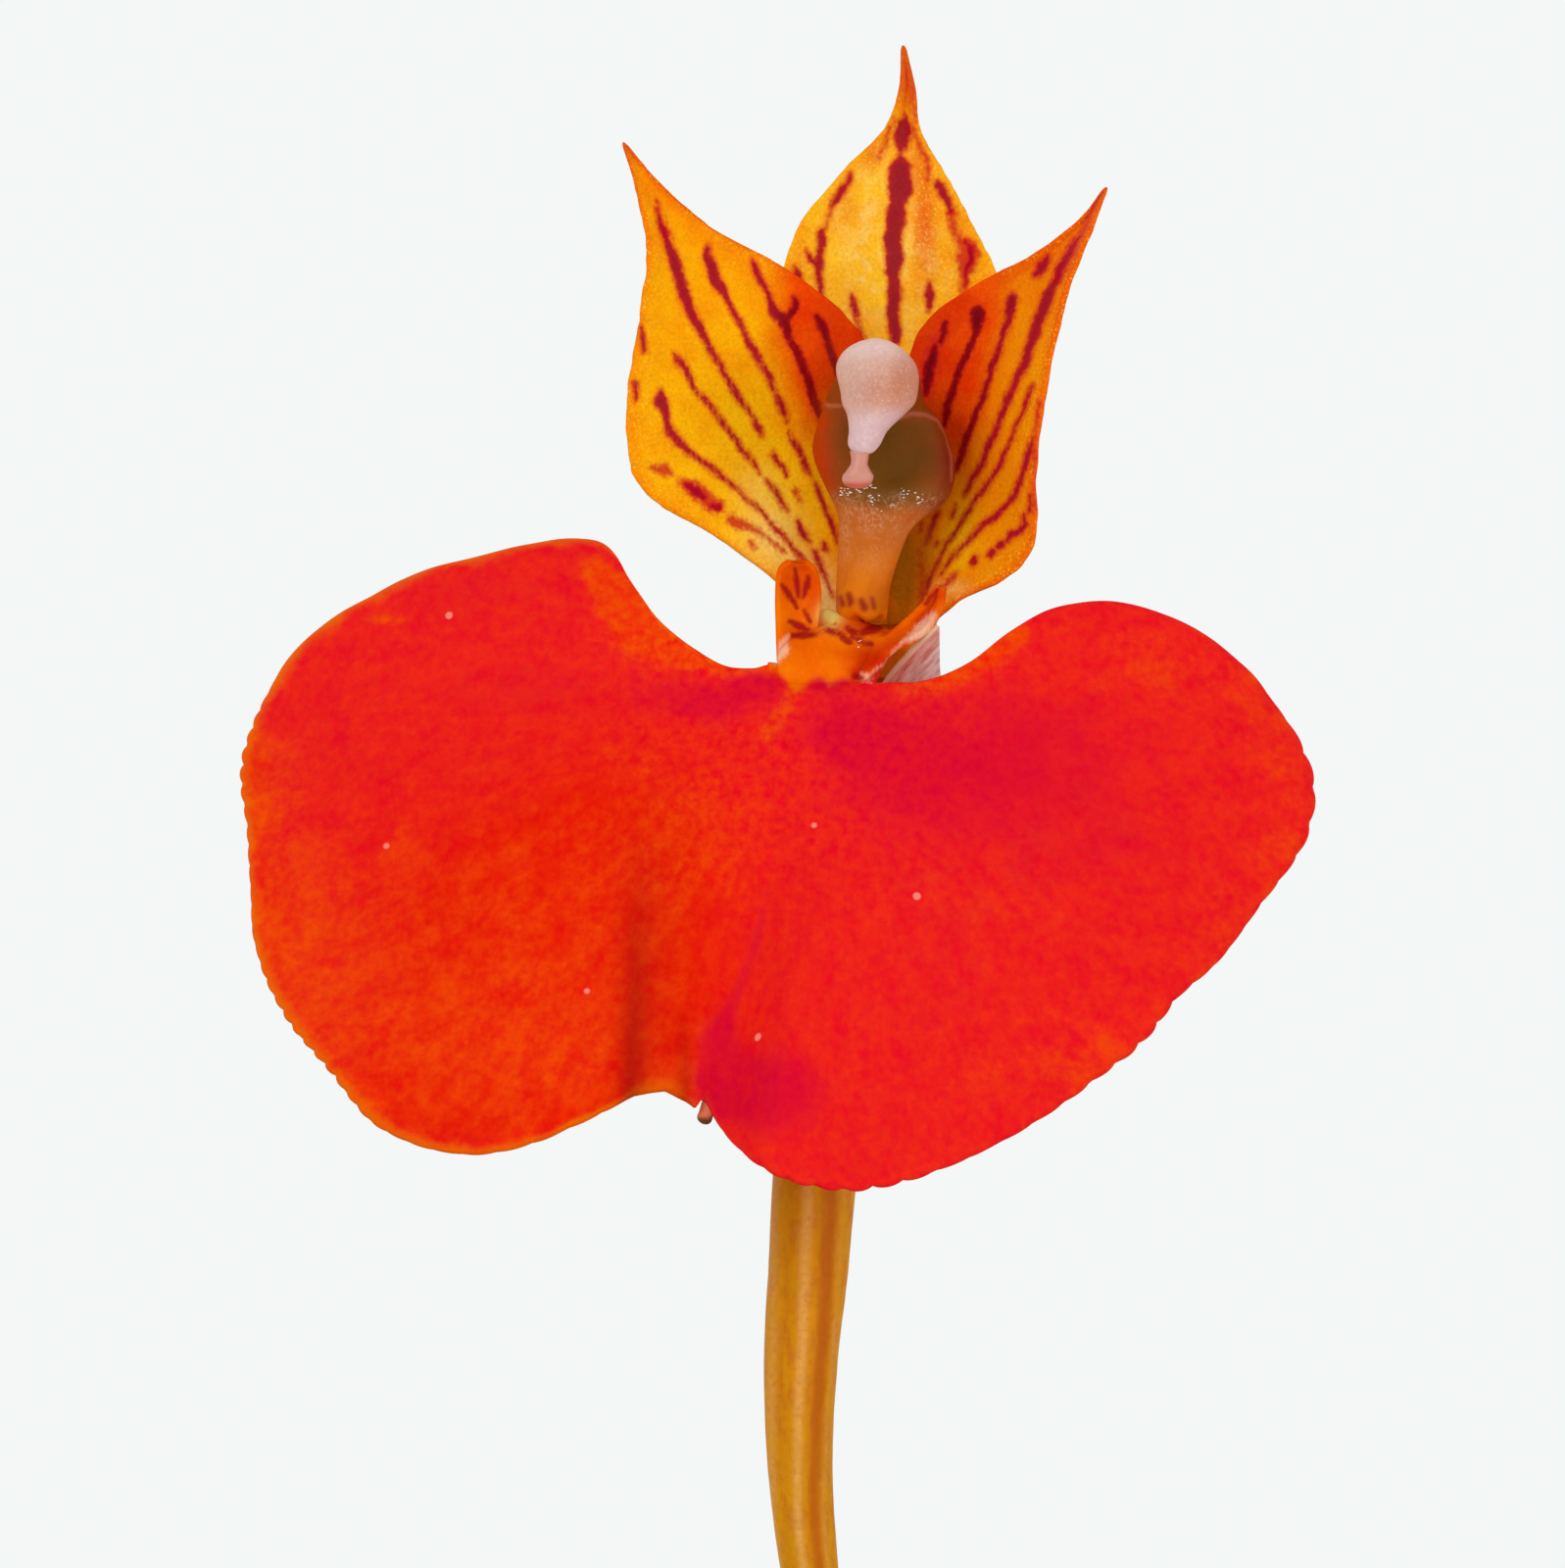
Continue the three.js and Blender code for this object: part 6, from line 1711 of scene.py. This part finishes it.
def bark():
    """A dark mound that fills the pot, and chips laid over it in a sunflower spiral, inside the clay."""
    reach = inner_radius(BARK_EDGE) - GAP - 0.1
    profile = np.array([
        (0.05, POT_FLOOR + GAP), (inner_radius(POT_FLOOR) - GAP - 0.2, POT_FLOOR + GAP),
        (reach, BARK_EDGE - 1.6), (reach * 0.6, BARK_CROWN - 2.3), (0.05, BARK_CROWN - 1.6),
    ])
    skins = [Skin(revolved(profile, 72), tone=0.05)]
    draw = np.random.default_rng(11)
    for number in range(CHIPS):
        share = math.sqrt((number + 0.5) / CHIPS)
        spin = number * GOLDEN_ANGLE
        chip = bark_chip(draw, number)
        level = BARK_CROWN - (BARK_CROWN - BARK_EDGE) * share**2 - 1.4 + draw.uniform(-0.5, 0.9)
        middle = (math.cos(spin) * (reach - 1) * share, math.sin(spin) * (reach - 1) * share, level)
        chip = chip + np.array(middle)
        away = np.hypot(chip[..., 0], chip[..., 1])
        limit = inner_radius(chip[..., 2]) - GAP - 0.15
        chip[..., :2] *= np.minimum(1, limit / np.maximum(away, 1e-6))[..., None]
        skins.append(Skin(chip, tone=draw.uniform(0, 1)))
    stand_for(build("bark_skin", skins, [BARK]), "bark_bed")


# Pot

def rounded(corners, radius, steps=5):
    """A profile whose inner corners become short parabolas that start the radius away from them."""
    corners = np.asarray(corners, float)
    out = [corners[:1]]
    u = np.linspace(0, 1, steps)[:, None]
    for before, corner, after in zip(corners[:-2], corners[1:-1], corners[2:]):
        to_before, to_after = before - corner, after - corner
        one = corner + to_before * min(0.45, radius / np.linalg.norm(to_before))
        two = corner + to_after * min(0.45, radius / np.linalg.norm(to_after))
        out.append((1 - u) ** 2 * one + 2 * u * (1 - u) * corner + u**2 * two)
    out.append(corners[-1:])
    return np.vstack(out)


def refined(profile, gap):
    """The profile with points added so that none lie further apart than gap."""
    out = [profile[:1]]
    for a, b in zip(profile[:-1], profile[1:]):
        count = max(1, int(np.linalg.norm(b - a) / gap))
        out.append(a + (b - a) * (np.arange(1, count + 1) / count)[:, None])
    return np.vstack(out)


POT_AROUND = 192
DRAIN_HOLES, DRAIN_RING, DRAIN_RADIUS = 4, 13, 3.0  # how many, how far from the middle, and their radius


def drain_drills():
    """Upright rods that reach through the pot's floor, one for each drain hole, evenly round it."""
    rod = tube(np.array([(0, 0, -3.0), (0, 0, 2.0), (0, 0, 9.0)]), DRAIN_RADIUS, 32)
    drills = []
    for number in range(DRAIN_HOLES):
        turn = (number + 0.5) / DRAIN_HOLES * TAU
        drills.append(Skin(rod + np.array([math.cos(turn), math.sin(turn), 0]) * DRAIN_RING))
    return drills


def pot():
    """The pot as one turned wall with a collar at its rim, its drain holes cut through the floor."""
    band = POT_HEIGHT - RIM_BAND
    profile = rounded([
        (0.02, 0), (FOOT_RADIUS, 0), (outer_radius(band), band), (RIM_RADIUS - 0.35, band + 0.3),
        (RIM_RADIUS, POT_HEIGHT), (inner_radius(POT_HEIGHT), POT_HEIGHT),
        (inner_radius(POT_FLOOR), POT_FLOOR), (0.02, POT_FLOOR),
    ], 1.0)
    piece = build("pot_skin", [Skin(revolved(refined(profile, 2.5), POT_AROUND))], [CLAY])
    cutter = build("drain_holes", drain_drills(), [CLAY])
    cut = piece.modifiers.new("holes", "BOOLEAN")
    cut.operation = "DIFFERENCE"
    cut.object = cutter
    cut.solver = "EXACT"
    drilled = bpy.data.meshes.new_from_object(piece.evaluated_get(bpy.context.evaluated_depsgraph_get()))
    piece.modifiers.remove(cut)
    piece.data = drilled
    bpy.data.objects.remove(cutter)
    stand_for(piece, "pot")


# Studio

FLOOR_RADIUS, FLOOR_CORNERS = 1500, 96


def floor():
    """A plain pale disc under the pot."""
    mesh = bpy.data.meshes.new("floor")
    angle = np.linspace(0, TAU, FLOOR_CORNERS, endpoint=False)
    rim = np.stack([np.cos(angle), np.sin(angle), 0 * angle], axis=1) * FLOOR_RADIUS * MM
    mesh.from_pydata(rim.tolist(), [], [list(range(FLOOR_CORNERS))])
    m = Finish("floor")
    tone = m.mix(m.noise(0.004).step(0.3, 0.7), (0.86, 0.87, 0.88, 1), (0.88, 0.89, 0.9, 1))
    mesh.materials.append(m.surface(Base_Color=tone, Roughness=0.9))
    disc = bpy.data.objects.new("floor", mesh)
    bpy.context.scene.collection.objects.link(disc)


def lamp(name, size, power, place):
    """A soft square light at place, turned towards the flower. Its size and place are in millimetres, its
    power in watts."""
    light = bpy.data.lights.new(name, "AREA")
    light.size = size * MM
    light.energy = power
    holder = bpy.data.objects.new(name, light)
    bpy.context.scene.collection.objects.link(holder)
    holder.location = [v * MM for v in place]
    towards = FLOWER - np.array(place, float)
    tilt = math.acos(-towards[2] / np.linalg.norm(towards))
    holder.rotation_euler = (tilt, 0, math.atan2(towards[1], towards[0]) - math.pi / 2)


SKY_BEHIND_CAMERA = (0.36, 0.36, 0.36, 1)
SKY_IN_VIEW = (0.905, 0.93, 0.925, 1)
SKY_FADE = (-0.5, 0.6)  # the y of the directions between which the one turns into the other


def studio():
    """Surroundings that are white behind the flower and grey behind the camera, a soft key from the upper
    left, a low fill from the right and a weak front light between the petals and the column."""
    world = bpy.data.worlds.new("studio")
    world.use_nodes = True
    nodes, links = world.node_tree.nodes, world.node_tree.links
    where = nodes.new("ShaderNodeTexCoord")
    apart = nodes.new("ShaderNodeSeparateXYZ")
    links.new(where.outputs["Generated"], apart.inputs["Vector"])
    spread = nodes.new("ShaderNodeMapRange")
    spread.inputs["From Min"].default_value, spread.inputs["From Max"].default_value = SKY_FADE
    links.new(apart.outputs["Y"], spread.inputs["Value"])
    mix = nodes.new("ShaderNodeMix")
    mix.data_type = "RGBA"
    links.new(spread.outputs["Result"], mix.inputs[0])
    mix.inputs[6].default_value = SKY_BEHIND_CAMERA
    mix.inputs[7].default_value = SKY_IN_VIEW
    links.new(mix.outputs[2], nodes["Background"].inputs["Color"])
    bpy.context.scene.world = world
    lamp("key", 260, 1.2, (-260, -420, 470))
    lamp("fill", 300, 0.7, (420, -300, 230))
    lamp("front", 200, 0.3, (30, -480, 260))
    bpy.context.scene.view_settings.view_transform = "Standard"


SENSOR_WIDTH = 36


def camera():
    """The photograph's view: level, along +Y, with the photograph's pixels to the millimetre at the
    flower."""
    lens = bpy.data.cameras.new("camera")
    lens.sensor_width = SENSOR_WIDTH
    lens.lens = SENSOR_WIDTH * CAMERA_DISTANCE * PIXELS_PER_MM / max(PHOTO_WIDTH, PHOTO_HEIGHT)
    lens.clip_start = 0.01
    lens.clip_end = 20
    holder = bpy.data.objects.new("camera", lens)
    holder.location = [v * MM for v in FLOWER + AIM - np.array([0, CAMERA_DISTANCE, 0])]
    holder.rotation_euler = (math.pi / 2, 0, 0)
    bpy.context.scene.collection.objects.link(holder)
    bpy.context.scene.camera = holder


TEPAL = tepal_finish()
LIP = lip_finish()
SPUR = spur_finish()
COLUMN = column_finish()
ANTHER = anther_finish()
POLLEN = pollinarium_finish()
DROP_HIGHLIGHT = drop_highlight_finish()
OVARY = ovary_finish()
STEM = stem_finish()
HUSK = husk_finish()
LEAF = leaf_finish()
BULB = bulb_finish()
ROOT = root_finish()
BARK = bark_finish()
CLAY = clay_finish()

camera()
studio()
floor()
petal("petal_left_skin", "petal_left", LEFT_PETAL_OUTER, LEFT_PETAL_INNER,
      LEFT_PETAL_STRIPES, LEFT_PETAL_SMUDGES, depth=0.5, seed=3, inner_side="right")
petal("petal_right_skin", "petal_right", RIGHT_PETAL_INNER, RIGHT_PETAL_OUTER,
      RIGHT_PETAL_STRIPES, RIGHT_PETAL_SMUDGES, depth=1.1, seed=4, inner_side="left")
dorsal_sepal()
joined_sepals()
lip()
column()
anther_cap()
pollinarium()
drops()
ovary()
stem()
for seed, (node, sizes) in enumerate(BULBS.items()):
    pseudobulb(node, *sizes, seed)
for node, sizes in LEAVES.items():
    leaf(node, *sizes)
roots()
bark()
pot()
